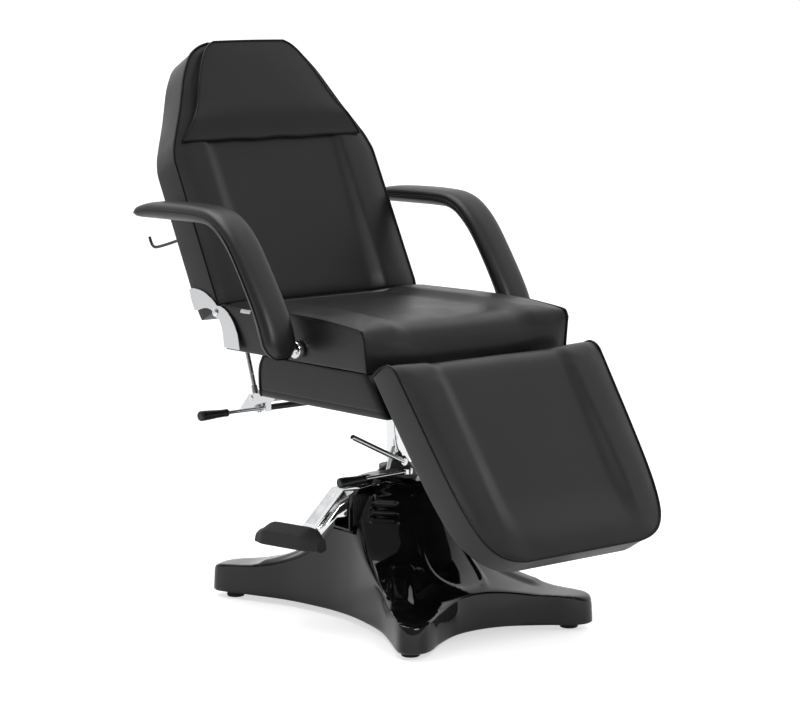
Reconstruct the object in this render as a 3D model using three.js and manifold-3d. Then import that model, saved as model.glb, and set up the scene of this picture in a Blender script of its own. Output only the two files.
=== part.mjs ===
// Facial treatment bed: a padded seat with a reclining backrest, tilting leg rest and swinging
// armrests, carried by a foot-pumped hydraulic column on a four-armed base.
// Millimetres. +Z up, +X to the occupant's left, -Y in front. The floor is z = 0, the bed is
// symmetric about x = 0, and y = 0 is the middle of its overall length.
import * as THREE from 'three';
import { mergeVertices } from 'three/addons/utils/BufferGeometryUtils.js';
import Module from 'manifold-3d';

const wasm = await Module();
wasm.setup();

// ---------------------------------------------------------------- driving dimensions
const gap = 0.3;                 // clearance between pieces that touch
const sides = 24;                // facets of a round piece
const extrusion = { bevelEnabled: false, curveSegments: sides / 2 };

const footHeight = 15;
const footRadius = 21;
const footX = 221;               // feet stand at (+-footX, +-footY) on the base
const footY = 353;
const baseTurn = -4.2;           // degrees the base is turned under the seat

const coverWall = 4;
const coverTop = 322;            // height of the cover's rim round the column
const collarRadius = 40;
const columnRadius = 27;
const columnFoot = 155;
const columnTop = 562;
const cylinderTop = 326;

const pedalPivot = [-66, 289];   // x and z of the pump lever's pin on the base
const pedalCentreX = -298;
const pedalTurn = 14.6;          // degrees the foot bar is turned about the vertical

const seatHalf = 300;            // half width of the seat pad
const seatFront = -246;
const seatRear = 272;
const seatTop = 714;
const trayBottom = 611;          // underside of the seat's timber tray
const trayBase = 12;
const trayRimTop = 668;
const apronBottom = 516;
const apronRear = 150;
const apronHalf = 290;
const boardThick = 18;
const railSize = 30;
const railX = 150;

const recline = [285, 695];      // y and z of the backrest hinge
const backOrigin = [287, 716];   // lower front edge of the backrest
const backLean = 27;             // degrees behind upright
const backLength = 655;
const padThick = 65;             // foam, in front of the board
const backBoardThick = 28;
const boardInset = 4;            // boards are this much smaller than their pads
const pillowStart = 400;
const pillowEnd = 645;
const pillowThick = 25;

const legHinge = [-251, 603];    // y and z of the leg rest hinge
const legOrigin = [-332, 653];   // upper front edge of the leg rest
const legLean = 35.3;            // degrees in front of upright
const legLength = 500;

const armInner = 315;            // the armrests lie between these distances from x = 0
const armOuter = 399;
const armBoardThick = 9;
const armPivot = [-20, 641];     // y and z of the armrest pivot

const strutX = -150;             // plane of the recline strut
const strutFoot = [338, 475];    // y and z of its clutch pivot on the seat
const strutHead = [410, 690];    // y and z of its eye on the backrest
const releaseLever = [300, 456]; // y and z of the recline release lever
const legStrutFoot = [-195, 560];   // y and z of the leg strut's pin on the seat frame
const legStrutHead = [-338.5, 474]; // y and z of its eye on the leg rest

// The bed's ends set the origin: lower front edge of the leg rest, upper rear edge of the back.
const frontEnd = legOrigin[0] - legLength * Math.sin(rad(legLean));
const backDepth = padThick + backBoardThick;
const rearEnd = backOrigin[0] + (backLength - boardInset) * Math.sin(rad(backLean))
  + backDepth * Math.cos(rad(backLean));
const originShift = -(frontEnd + rearEnd) / 2;

// ---------------------------------------------------------------- materials
function finish(colour, roughness, metalness) {
  return () => new THREE.MeshStandardMaterial({ color: colour, roughness, metalness });
}
const vinyl = finish(0x17181a, 0.5, 0);
const timber = finish(0xa88a5e, 0.7, 0);
const chrome = finish(0xe4e6e8, 0.12, 1);
const paintedSteel = finish(0x1b1c1e, 0.45, 0.6);
const glossShell = finish(0x08080a, 0.08, 0);
const rubber = finish(0x131314, 0.85, 0);
const grip = finish(0x101011, 0.6, 0);

// ---------------------------------------------------------------- geometry helpers
function rad(degrees) {
  return degrees * Math.PI / 180;
}

const alongX = new THREE.Matrix4().makeBasis(
  new THREE.Vector3(0, 1, 0), new THREE.Vector3(0, 0, 1), new THREE.Vector3(1, 0, 0));
const alongY = new THREE.Matrix4().makeBasis(
  new THREE.Vector3(1, 0, 0), new THREE.Vector3(0, 0, 1), new THREE.Vector3(0, -1, 0));

// An outline, wound anticlockwise, with round holes [a, b, radius].
function shapeOf(outline, holes = []) {
  const points = outline.map(([a, b]) => new THREE.Vector2(a, b));
  if (THREE.ShapeUtils.area(points) < 0) points.reverse();
  const shape = new THREE.Shape(points);
  for (const [a, b, radius] of holes) {
    shape.holes.push(new THREE.Path().absarc(a, b, radius, 0, 2 * Math.PI, true));
  }
  return shape;
}

// A flat outline given a thickness along one axis, from one coordinate to another.
function plateX(outline, from, to, holes) {
  const g = new THREE.ExtrudeGeometry(shapeOf(outline, holes), { depth: to - from, ...extrusion });
  return g.applyMatrix4(alongX).translate(from, 0, 0);
}

function plateY(outline, from, to, holes) {
  const g = new THREE.ExtrudeGeometry(shapeOf(outline, holes), { depth: to - from, ...extrusion });
  return g.applyMatrix4(alongY).translate(0, to, 0);
}

function block([x0, x1], [y0, y1], [z0, z1]) {
  return new THREE.BoxGeometry(x1 - x0, y1 - y0, z1 - z0)
    .translate((x0 + x1) / 2, (y0 + y1) / 2, (z0 + z1) / 2);
}

// A rod between two points.
function rod(from, to, radius, facets = sides) {
  const a = new THREE.Vector3(...from);
  const b = new THREE.Vector3(...to);
  const way = b.clone().sub(a);
  const turn = new THREE.Quaternion().setFromUnitVectors(new THREE.Vector3(0, 1, 0), way.clone().normalize());
  const middle = a.add(b).multiplyScalar(0.5);
  return new THREE.CylinderGeometry(radius, radius, way.length(), facets)
    .applyQuaternion(turn).translate(middle.x, middle.y, middle.z);
}

// A turned piece: [radius, height] points of its section, closed on itself, about +Z.
function turned(section, facets = sides) {
  const points = section.map(([r, z]) => new THREE.Vector2(r, z));
  return new THREE.LatheGeometry(points, facets).rotateX(Math.PI / 2);
}

function ring(outer, inner, from, to) {
  return turned([[inner, from], [outer, from], [outer, to], [inner, to], [inner, from]]);
}

// The same piece laid along +X instead of standing on +Z.
function toX(geometry) {
  return geometry.rotateY(Math.PI / 2);
}

function bentTube(points, radius, steps = 14) {
  const curve = new THREE.CatmullRomCurve3(points.map((p) => new THREE.Vector3(...p)), false, 'centripetal');
  const section = new THREE.Shape().absarc(0, 0, radius, 0, 2 * Math.PI);
  return new THREE.ExtrudeGeometry(section, { steps, extrudePath: curve, curveSegments: 4 });
}

function toSolid(geometry) {
  const bare = geometry.clone();
  for (const name of Object.keys(bare.attributes)) {
    if (name !== 'position') bare.deleteAttribute(name);
  }
  const merged = mergeVertices(bare, 1e-4);
  return new wasm.Manifold(new wasm.Mesh({
    numProp: 3,
    vertProperties: new Float32Array(merged.attributes.position.array),
    triVerts: new Uint32Array(merged.index.array),
  }));
}

function toGeometry(solid) {
  const mesh = solid.getMesh();
  const g = new THREE.BufferGeometry();
  g.setAttribute('position', new THREE.BufferAttribute(new Float32Array(mesh.vertProperties), 3));
  g.setIndex(new THREE.BufferAttribute(new Uint32Array(mesh.triVerts), 1));
  g.computeVertexNormals();
  return g;
}

function join(...geometries) {
  return toGeometry(geometries.map(toSolid).reduce((a, b) => a.add(b)));
}

function cut(geometry, ...tools) {
  return toGeometry(tools.reduce((solid, tool) => solid.subtract(toSolid(tool)), toSolid(geometry)));
}

function common(a, b) {
  return toGeometry(toSolid(a).intersect(toSolid(b)));
}

// Mirror-image outline points: the right half is listed, and the left half is made from it.
function bothSides(rightHalf) {
  const left = rightHalf.filter(([x]) => x > 0).map(([x, z]) => [-x, z]).reverse();
  return [...rightHalf, ...left];
}

// Rounds each corner of an outline with an arc-like curve of the given reach.
function rounded(points, reach, steps = 5) {
  const out = [];
  points.forEach((corner, i) => {
    const before = points[(i + points.length - 1) % points.length];
    const after = points[(i + 1) % points.length];
    const towards = (other) => {
      const length = Math.hypot(other[0] - corner[0], other[1] - corner[1]);
      const share = Math.min(reach, length * 0.45) / length;
      return [corner[0] + (other[0] - corner[0]) * share, corner[1] + (other[1] - corner[1]) * share];
    };
    const start = towards(before);
    const end = towards(after);
    for (let k = 0; k <= steps; k += 1) {
      const t = k / steps;
      const w = [(1 - t) ** 2, 2 * t * (1 - t), t ** 2];
      out.push([0, 1].map((c) => w[0] * start[c] + w[1] * corner[c] + w[2] * end[c]));
    }
  });
  return out;
}

// An outline as wide as stated about a line through points [a, b, half width], round at both ends.
function stroke(stations, steps = 26, capSteps = 6) {
  const points = stations.map((station) => new THREE.Vector3(...station));
  const curve = new THREE.CatmullRomCurve3(points, false, 'centripetal');
  const left = [];
  const right = [];
  const spine = [];
  for (let i = 0; i <= steps; i += 1) {
    const p = curve.getPoint(i / steps);
    const q = curve.getTangent(i / steps);
    const along = new THREE.Vector2(q.x, q.y).normalize();
    spine.push({ p, along });
    left.push([p.x - along.y * p.z, p.y + along.x * p.z]);
    right.push([p.x + along.y * p.z, p.y - along.x * p.z]);
  }
  const cap = ({ p, along }, turn) => {
    const first = Math.atan2(along.x, -along.y);
    const points = [];
    for (let k = 1; k < capSteps; k += 1) {
      const a = turn + first - Math.PI * k / capSteps;
      points.push([p.x + p.z * Math.cos(a), p.y + p.z * Math.sin(a)]);
    }
    return points;
  };
  return [...left, ...cap(spine[steps], 0), ...right.reverse(), ...cap(spine[0], Math.PI)].reverse();
}

function add(group, name, geometry, material) {
  const mesh = new THREE.Mesh(geometry, material());
  mesh.name = name;
  group.add(mesh);
  return mesh;
}

// The two sides of the bed: name, and the sign of x.
const bothHands = [['right', -1], ['left', 1]];

function mirrored(outline, hand, from, to, holes) {
  return hand > 0 ? plateX(outline, from, to, holes) : plateX(outline, -to, -from, holes);
}

// ---------------------------------------------------------------- base
// Plan outline of one quarter of the base cover, from the side waist to the front waist.
const coverQuarter = [
  [157, 0], [163, 80], [186, 190], [226, 285], [257, 350],
  [264, 378], [250, 400], [222, 406], [190, 392], [150, 362], [84, 324], [30, 309],
];
// Height of the cover's skin against distance from the column.
const coverRidge = [
  [15, 520], [62, 480], [74, 466], [80, 440], [84, 380], [95, 320], [115, 260],
  [145, 210], [175, 182], [205, 166], [250, 144], [288, 124], [310, 104], [320, 76], [322, 62],
];

function coverOutline() {
  const mirrorY = coverQuarter.slice().reverse().map(([x, y]) => [-x, y]);
  const upper = [...coverQuarter, ...mirrorY];
  const lower = upper.map(([x, y]) => [-x, -y]).filter(([, y]) => y < 0);
  const ends = [...upper, ...lower].map(([x, y]) => new THREE.Vector3(x, y, 0));
  return new THREE.CatmullRomCurve3(ends, true, 'centripetal').getPoints(480);
}

// Distance from the column to the plan outline in each of a fan of directions.
function fanOf(outline, count) {
  const angles = outline.map((p) => Math.atan2(p.y, p.x));
  return Array.from({ length: count }, (_, i) => {
    const wanted = (i / count) * 2 * Math.PI - Math.PI;
    let best = 0;
    let error = Infinity;
    angles.forEach((angle, k) => {
      const off = Math.abs(Math.atan2(Math.sin(angle - wanted), Math.cos(angle - wanted)));
      if (off < error) {
        error = off;
        best = k;
      }
    });
    return { angle: wanted, reach: Math.hypot(outline[best].x, outline[best].y) };
  });
}

function softMin(a, b, blend) {
  const h = Math.max(0, 1 - Math.abs(a - b) / blend);
  return Math.min(a, b) - h * h * blend / 4;
}

function coverShell() {
  const fan = fanOf(coverOutline(), 80);
  const draft = 0.05;
  const rings = [];
  const addRing = (z, ridge, inset) => rings.push(fan.map(({ angle, reach }) => {
    const side = reach - inset - draft * (z - footHeight);
    const r = softMin(side, ridge - inset, 18);
    return [r * Math.cos(angle), r * Math.sin(angle), z];
  }));
  const onRim = (radius, z) => ({ angle }) => [radius * Math.cos(angle), radius * Math.sin(angle), z];
  const rim = (radius, z) => rings.push(fan.map(onRim(radius, z)));
  coverRidge.forEach(([z, ridge]) => addRing(z, ridge, 0));
  rim(collarRadius + 4, coverTop);
  rim(collarRadius + 4, coverTop - coverWall);
  const innerRidge = coverRidge.filter((_, i) => i % 2 === 0).reverse();
  innerRidge.forEach(([z, ridge]) => addRing(Math.max(z - coverWall, footHeight), ridge, coverWall));
  const count = fan.length;
  const positions = rings.flat(2);
  const index = [];
  rings.forEach((_, k) => {
    const next = (k + 1) % rings.length;
    for (let i = 0; i < count; i += 1) {
      const j = (i + 1) % count;
      index.push(k * count + i, k * count + j, next * count + j);
      index.push(k * count + i, next * count + j, next * count + i);
    }
  });
  const g = new THREE.BufferGeometry();
  g.setAttribute('position', new THREE.Float32BufferAttribute(positions, 3));
  g.setIndex(index);
  return cut(g, block([-230, -52], [-46, 46], [205, 340]));
}

// Crossed square tubes on the floor side of the cover, with a plate under the cylinder.
function baseFrame() {
  const reach = Math.hypot(footX, footY) + 16;
  const wall = 3;
  const beam = (sign, inset) => new THREE.BoxGeometry(2 * (reach - inset), 40 - 2 * inset, 30)
    .rotateZ(sign * Math.atan2(footY, footX))
    .translate(0, 0, footHeight + gap + 15 - inset);
  const plate = (inset) => block([-130 + inset, 90 - inset], [-75 + inset, 75 - inset],
    [footHeight + gap - inset, footHeight + gap + 30 - inset]);
  const whole = join(beam(1, 0), beam(-1, 0), plate(0));
  return cut(whole, join(beam(1, wall), beam(-1, wall), plate(wall)));
}

function makeBase(root) {
  const base = new THREE.Group();
  base.rotation.z = rad(baseTurn);
  root.add(base);
  for (const [side, x] of bothHands) {
    for (const [end, y] of [['front', -1], ['rear', 1]]) {
      const foot = turned([[0, 0], [footRadius - 2, 0], [footRadius, 3], [footRadius - 1, footHeight],
        [0, footHeight]]);
      foot.translate(x * footX, y * footY, 0);
      add(base, `foot_${end}_${side}`, foot, rubber);
    }
  }
  const floorOfParts = footHeight + 30 + 2 * gap;
  add(base, 'base_frame', baseFrame(), paintedSteel);
  add(base, 'base_cover', coverShell(), glossShell);
  add(base, 'hydraulic_cylinder', turned([
    [0, floorOfParts], [collarRadius, floorOfParts], [collarRadius, cylinderTop],
    [columnRadius + 0.5, cylinderTop], [columnRadius + 0.5, floorOfParts + 10], [0, floorOfParts + 10],
  ]), paintedSteel);

  const plungerX = -98;
  const pump = cut(
    block([-114, -collarRadius - 2], [-19, 19], [floorOfParts, 281]),
    rod([plungerX, 0, 140], [plungerX, 0, 300], 7.4));
  add(base, 'pump_body', pump, paintedSteel);
  add(base, 'pump_plunger', rod([plungerX, 0, 160], [plungerX, 0, 299.5], 7), chrome);

  makePumpBracket(base);
  makePedal(base);
  makeColumnLevers(base);
  return base;
}

// Two cheeks tied by a low front web, carrying the pedal lever's pin.
function makePumpBracket(base) {
  const [px, pz] = pedalPivot;
  const cheek = [[-158, 212], [-55, 212], [-55, 306], [-96, 312], [-140, 306], [-158, 292]];
  const cheeks = [[28, 32], [-32, -28]].map(([y0, y1]) => plateY(cheek, y0, y1));
  const web = block([-158, -154], [-30, 30], [212, 236]);
  const pin = rod([px, -35, pz], [px, 35, pz], 6);
  add(base, 'pump_bracket', join(...cheeks, web, pin), chrome);
}

// A folded channel from the pin, out and down to a tongue inside the rubber foot bar.
function makePedal(base) {
  const [px, pz] = pedalPivot;
  const tongue = [-328, 211];
  const knee = [-262, 213];
  const shoulder = [-168, 308];
  const web = [[-54, 303], shoulder, knee, tongue];
  const under = ([x, z]) => [x, z - 4];
  const skin = plateY([...web.map(under), ...web.slice().reverse()], -25, 25);
  const flange = [[-54, 303], [-54, 279], [-158, 279], [-250, 196], knee, shoulder];
  const flanges = [[22, 25], [-25, -22]].map(([y0, y1]) => plateY(flange, y0, y1, [[px, pz, 6.3]]));
  const trims = [[19, 40], [-40, -19]].map((band) => block([-340, -256], band, [190, 230]));
  add(base, 'pedal_lever', cut(join(skin, ...flanges), ...trims), chrome);

  const section = rounded([[-31, 188], [31, 190], [28, 226], [4, 240], [-22, 236], [-33, 214]], 10, 3);
  const bar = plateY(section, -95, 95).rotateZ(rad(pedalTurn)).translate(pedalCentreX, 0, 0);
  add(base, 'pedal_pad', cut(bar, block([-329, -250], [-20, 20], [206, 214])), rubber);
}

// The clamp on top of the cylinder with its two hand levers.
function makeColumnLevers(base) {
  const z0 = cylinderTop + gap;
  const collar = ring(collarRadius + 4, columnRadius + 0.6, z0, z0 + 19);
  const ear = block([-30, 4], [-72, -34], [z0, z0 + 6]);
  const bore = rod([0, 0, z0 - 5], [0, 0, z0 + 30], columnRadius + 0.6);
  add(base, 'lock_collar', cut(join(collar, ear), bore), paintedSteel);

  const lockZ = z0 + 6 + gap;
  const hub = turned([[0, lockZ], [10, lockZ], [10, lockZ + 13], [0, lockZ + 13]]).translate(-14, -60, 0);
  const gripStart = [-134, -60, lockZ + 3];
  add(base, 'lock_lever', join(hub, rod([-14, -60, lockZ + 7], gripStart, 4.5, 16)), chrome);
  const gripEnd = [-206, -60, lockZ];
  const way = new THREE.Vector3(...gripEnd).sub(new THREE.Vector3(...gripStart)).normalize();
  const from = way.multiplyScalar(gap).add(new THREE.Vector3(...gripStart));
  add(base, 'lock_lever_grip', rod(from.toArray(), gripEnd, 12, 20), grip);

  const plateZ = z0 + 19 + gap;
  const ears = [[-84, plateZ], [12, plateZ], [-8, plateZ + 26], [-26, plateZ + 26]];
  const pivot = [-20, plateZ + 15];
  const upright = plateY(ears, -40, -35, [[pivot[0], pivot[1], 4.3]]);
  const flat = block([-24, 4], [-40, -29], [plateZ, plateZ + 4]);
  const column = rod([0, 0, plateZ - 5], [0, 0, plateZ + 10], columnRadius + 0.6);
  add(base, 'lever_plate', cut(join(upright, flat), column), paintedSteel);
  const tip = [-162, -50, 432];
  const boss = rod([pivot[0], -55, pivot[1]], [pivot[0], -41, pivot[1]], 9, 20);
  const stub = rod([pivot[0], -41.5, pivot[1]], [pivot[0], -32, pivot[1]], 4, 20);
  const strip = plateY([[-52, 398], [-44, 400], [-61, 349], [-69, 347]], -53, -48);
  add(base, 'lowering_lever', join(boss, stub, rod([pivot[0], -50, pivot[1]], tip, 6, 16), strip), chrome);
}

// ---------------------------------------------------------------- column and seat frame
function makeColumn(root) {
  add(root, 'column', turned([[0, columnFoot], [columnRadius - 2, columnFoot], [columnRadius, columnFoot + 3],
    [columnRadius, columnTop], [0, columnTop]], 48), chrome);
}

const frameTop = trayBottom - gap;
const frameBottom = frameTop - railSize;

function makeSeatFrame(root) {
  const hubTop = frameBottom - gap;
  add(root, 'seat_hub', turned([
    [columnRadius + 0.6, apronBottom + 6], [46, apronBottom + 6], [46, hubTop - 14], [105, hubTop - 14],
    [105, hubTop], [0, hubTop], [0, columnTop + 0.6], [columnRadius + 0.6, columnTop + 0.6],
    [columnRadius + 0.6, apronBottom + 6],
  ]), paintedSteel);

  const half = railSize / 2;
  const wall = 2;
  const bore = half - wall;
  const inner = railX - half + 1;
  const rails = bothHands.map(([, s]) => (
    block([s * railX - half, s * railX + half], [-232, 250], [frameBottom, frameTop])));
  const railBores = bothHands.map(([, s]) => (
    block([s * railX - bore, s * railX + bore], [-240, 260], [frameBottom + wall, frameTop - wall])));
  const crosses = [-217, -60, 60, 235].map((y) => cut(
    block([-inner, inner], [y - half, y + half], [frameBottom, frameTop]),
    block([2 - inner, inner - 2], [y - bore, y + bore], [frameBottom - 1, frameTop - 3])));
  const tubes = rails.map((rail, i) => cut(rail, railBores[i]));
  add(root, 'seat_frame', join(...tubes, ...crosses, ...legStrutMount()), paintedSteel);
}

// Two lugs and a pin, hung from a tie between the rails, for the upper end of the leg strut.
function legStrutMount() {
  const [y, z] = legStrutFoot;
  const lug = [[y - 12, z - 10], [y + 12, z - 10], [y + 14, frameTop - 1], [y - 14, frameTop - 1]];
  const lugs = [[-16, -12.5], [12.5, 16]].map(([x0, x1]) => plateX(lug, x0, x1));
  const tie = block([-railX + 14, railX - 14], [y - 14, y + 14], [frameTop - 6, frameTop - 0.5]);
  return [...lugs, tie, rod([-13, y, z], [13, y, z], 4, 20)];
}

// The upholstered skirt: boards under the tray, slanted in front to clear the leg rest, with a
// space for the leg strut.
function makeApron(root) {
  const slant = Math.tan(rad(legLean));
  const frontAt = (z) => -244 - (frameTop - z) * slant;
  const side = [[apronRear, apronBottom], [apronRear, frameTop], [frontAt(frameTop), frameTop],
    [frontAt(apronBottom), apronBottom]];
  for (const [hand, s] of bothHands) {
    add(root, `apron_${hand}`, mirrored(side.slice().reverse(), s, apronHalf - boardThick, apronHalf), vinyl);
  }
  const inner = apronHalf - boardThick - gap;
  const railOuter = railX + railSize / 2 + 1;
  const railInner = railX - railSize / 2 - 1;
  const notch = frameBottom - 1;
  const rear = bothSides([[0, apronBottom], [inner, apronBottom], [inner, frameTop], [railOuter, frameTop],
    [railOuter, notch], [railInner, notch], [railInner, frameTop], [0, frameTop]]);
  add(root, 'apron_rear', plateY(rear, apronRear - boardThick, apronRear), vinyl);

  const frontTop = 588;
  const front = [[frontAt(apronBottom), apronBottom], [frontAt(apronBottom) + 12, apronBottom],
    [frontAt(frontTop) + 12, frontTop], [frontAt(frontTop), frontTop]];
  for (const [hand, s] of bothHands) {
    add(root, `apron_front_${hand}`, mirrored(front, s, 34, inner), vinyl);
  }
}

function makeSeatPad(root) {
  const rimInner = seatHalf - 28;
  const rimOuter = seatHalf - 8;
  const u = bothSides([[0, trayBottom], [rimOuter, trayBottom], [rimOuter, trayRimTop],
    [rimInner, trayRimTop], [rimInner, trayBottom + trayBase], [0, trayBottom + trayBase]]);
  const tray = plateY(u, seatFront + 8, seatRear - 14);
  const bolts = bothHands.map(([, s]) => rod([s * 260, ...armPivot], [s * 296, ...armPivot], 6.3));
  add(root, 'seat_tray', cut(tray, ...bolts), timber);

  const bottom = trayBottom + trayBase + gap;
  const tee = bothSides([[0, bottom], [rimInner - gap, bottom], [rimInner - gap, trayRimTop + gap],
    [seatHalf, trayRimTop + gap], [seatHalf, seatTop + 10], [0, seatTop + 10]]);
  const profile = rounded([[seatFront, bottom - 1], [seatRear - 14, bottom - 1], [seatRear, seatTop],
    [-95, seatTop], [-185, seatTop - 6], [seatFront, seatTop - 18]], 12, 3);
  const across = plateY(tee, seatFront - 20, seatRear + 20);
  const along = plateX(profile, -seatHalf - 5, seatHalf + 5);
  add(root, 'seat_pad', common(across, along), vinyl);
}

// ---------------------------------------------------------------- recline hinge
// Curved flat straps on both flanks: one on the seat tray, one on the backrest board.
function makeHinges(root) {
  const seatStrap = [[194, 617], [200, 646], [210, 670], [225, 689], [246, 704], [263, 710], [277, 709],
    [291, 703], [294, 694], [285, 684], [272, 679], [262, 660], [256, 636], [254, 617]];
  const backStrap = [[276, 701], [283, 709], [300, 721], [328, 735], [364, 742], [394, 740], [383, 708],
    [369, 689], [343, 698], [325, 701], [307, 699], [294, 689], [284, 685], [276, 690]];
  const pinProfile = [[0, 293], [9, 293], [9, 297], [6, 297], [6, 305.5], [9.5, 305.5], [9.5, 308],
    [7, 309.5], [0, 309.5]];
  const hole = [[recline[0], recline[1], 6.3]];
  for (const [hand, s] of bothHands) {
    add(root, `seat_hinge_${hand}`, mirrored(seatStrap, s, 301.6, 305.1, hole), chrome);
    add(root, `back_hinge_${hand}`, mirrored(backStrap, s, 297.6, 301.2, hole), chrome);
    const pin = toX(turned(pinProfile));
    if (s < 0) pin.rotateY(Math.PI);
    add(root, `recline_pin_${hand}`, pin.translate(0, recline[0], recline[1]), chrome);
  }
}

// ---------------------------------------------------------------- recline strut and lever
function makeReclineGear(root) {
  const [fy, fz] = strutFoot;
  const cheek = [[205, 572], [205, 576], [234, 576], [268, 497], [325, 488], [348, 484], [383, 446],
    [372, 440], [320, 462], [290, 470], [250, 478], [217, 560]];
  const trunnionHole = [[fy, fz, 5.4]];
  const cheekSpans = [[strutX - 16, strutX - 13], [strutX + 13, strutX + 16]];
  const cheeks = cheekSpans.map(([x0, x1]) => plateX(cheek, x0, x1, trunnionHole));
  const topPlate = block([strutX - 22, strutX + 22], [205, 250], [frameBottom - gap - 5, frameBottom - gap]);
  const lowerWeb = block([strutX - 14, strutX + 14], [288, 312], [471, 474]);
  const [ly, lz] = releaseLever;
  const lug = (y) => block([strutX - 8, strutX + 8], [y - 1.5, y + 1.5], [lz - 8, 472]);
  const lugPin = rod([strutX, ly - 7.5, lz], [strutX, ly + 7.5, lz], 3, 16);
  add(root, 'recline_bracket', join(...cheeks, topPlate, lowerWeb, lug(ly - 7), lug(ly + 7), lugPin), chrome);

  const hubBore = rod([strutX, ly - 6, lz], [strutX, ly + 6, lz], 3.3, 16);
  const hub = cut(rod([strutX, ly - 5, lz], [strutX, ly + 5, lz], 9, 24), hubBore);
  const gripFrom = -263;
  const outer = rod([gripFrom, ly, lz], [strutX - 6, ly, lz], 4.5, 16);
  const neck = rod([strutX + 6, ly, lz], [strutX + 20, ly, lz], 4.5, 16);
  const inner = rod([strutX + 18, ly, lz], [strutX + 125, ly, lz], 7.5, 16);
  add(root, 'recline_lever', join(hub, outer, neck, inner), chrome);
  add(root, 'recline_lever_grip', rod([gripFrom - 80, ly, lz], [gripFrom - gap, ly, lz], 12, 20), grip);

  const way = new THREE.Vector3(0, strutHead[0] - fy, strutHead[1] - fz);
  const length = way.length();
  way.normalize();
  const at = (d) => [strutX, fy + way.y * d, fz + way.z * d];
  const trunnion = rod([strutX - 12.5, fy, fz], [strutX + 12.5, fy, fz], 5, 20);
  const clutch = join(rod(at(-32), at(32), 11, 24), trunnion);
  add(root, 'recline_clutch', cut(clutch, rod(at(-40), at(40), 6.4, 24)), paintedSteel);
  const eye = rod([strutX - 6, ...strutHead], [strutX + 6, ...strutHead], 8, 24);
  add(root, 'recline_rod', join(rod(at(-36), at(length - 4), 6, 24), eye), chrome);
}

function makeLegStrut(root) {
  const [ry, rz] = legStrutFoot;
  const way = new THREE.Vector3(0, legStrutHead[0] - ry, legStrutHead[1] - rz);
  const length = way.length();
  way.normalize();
  const at = (d) => [0, ry + way.y * d, rz + way.z * d];
  const barrel = join(rod(at(-2), at(118), 12, 24), rod([-11, ry, rz], [11, ry, rz], 9, 24));
  const rodBore = rod(at(16), at(126), 6.5, 24);
  const pinBore = rod([-15, ry, rz], [15, ry, rz], 4.3, 20);
  add(root, 'leg_strut_barrel', cut(barrel, rodBore, pinBore), paintedSteel);
  const eye = rod([-6, ...legStrutHead], [6, ...legStrutHead], 8, 24);
  add(root, 'leg_strut_rod', join(rod(at(22), at(length - 4), 6, 24), eye), chrome);
}

// ---------------------------------------------------------------- backrest
// Right half of the backrest outline: half width, distance up from the hinge end.
const backHalf = [[0, 0], [292, 0], [297, 8], [297, 362], [274, 420], [241, 483], [200, 572], [165, 624],
  [133, 641], [80, 652], [0, backLength]];

function shrunk(half, by) {
  const top = Math.max(...half.map(([, s]) => s));
  const bottom = Math.min(...half.map(([, s]) => s));
  return half.map(([x, s]) => [Math.max(x - by, 0), THREE.MathUtils.clamp(s, bottom + by, top - by)]);
}

function makeBackrest(root) {
  const back = new THREE.Group();
  back.position.set(0, ...backOrigin);
  back.rotation.x = -rad(backLean);
  root.add(back);
  add(back, 'back_pad', plateY(bothSides(backHalf), 0, padThick - gap), vinyl);
  add(back, 'back_board', plateY(bothSides(shrunk(backHalf, boardInset)), padThick, backDepth), timber);

  const pillowHalf = [[0, pillowStart], [263, pillowStart], [245, 425], [206, 480], [179, 545], [150, 600],
    [127, 632], [105, pillowEnd], [0, pillowEnd]];
  const wedge = [[-gap, pillowStart - 5], [-pillowThick + 2, 446], [-pillowThick, pillowEnd + 5],
    [-gap, pillowEnd + 5]];
  const pillowBlank = plateY(bothSides(pillowHalf), -2 * pillowThick, 0);
  add(back, 'pillow', common(pillowBlank, plateX(wedge, -seatHalf, seatHalf)), vinyl);

  const frameX = 250;
  const y0 = backDepth + gap;
  const uprights = bothHands.map(([, s]) => (
    block([s * frameX - 11, s * frameX + 11], [y0, y0 + 20], [14, 330])));
  const crosses = [100, 318].map((s) => block([-frameX, frameX], [y0, y0 + 20], [s - 11, s + 11]));
  add(back, 'back_frame', join(...uprights, ...crosses), paintedSteel);

  const lug = [[y0, 6], [136, 20], [136, 62], [y0, 80]];
  const lugSpans = [[strutX - 13, strutX - 10], [strutX + 10, strutX + 13]];
  const lugs = lugSpans.map(([x0, x1]) => plateX(lug, x0, x1));
  const foot = block([strutX - 24, strutX + 24], [y0, y0 + 3], [6, 80]);
  add(back, 'strut_clevis', join(...lugs, foot), paintedSteel);

  for (const [hand, s] of bothHands) {
    const x = s * frameX;
    const start = y0 + 21.5;
    const hook = bentTube([[x, start, 206], [x, start + 60, 218], [x, start + 120, 232],
      [x, start + 142, 240], [x, start + 149, 262]], 4);
    add(back, `roll_hook_${hand}`, hook, paintedSteel);
  }
  return back;
}

// ---------------------------------------------------------------- leg rest
const legHalf = [[0, 0], [285, 0], [300, 15], [294, 142], [287, 276], [282, 346], [272, 400],
  [263, 437], [250, 465], [230, 484], [200, 497], [150, legLength], [0, legLength]];

function makeLegRest(root) {
  const leg = new THREE.Group();
  leg.position.set(0, ...legOrigin);
  leg.rotation.x = -rad(legLean);
  root.add(leg);
  const outline = (half) => bothSides(half).map(([x, s]) => [x, -s]).reverse();
  add(leg, 'leg_pad', plateY(outline(legHalf), 0, padThick - gap), vinyl);
  const board = plateY(outline(shrunk(legHalf, boardInset)), padThick, padThick + boardThick);
  add(leg, 'leg_board', board, timber);
  return leg;
}

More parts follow.
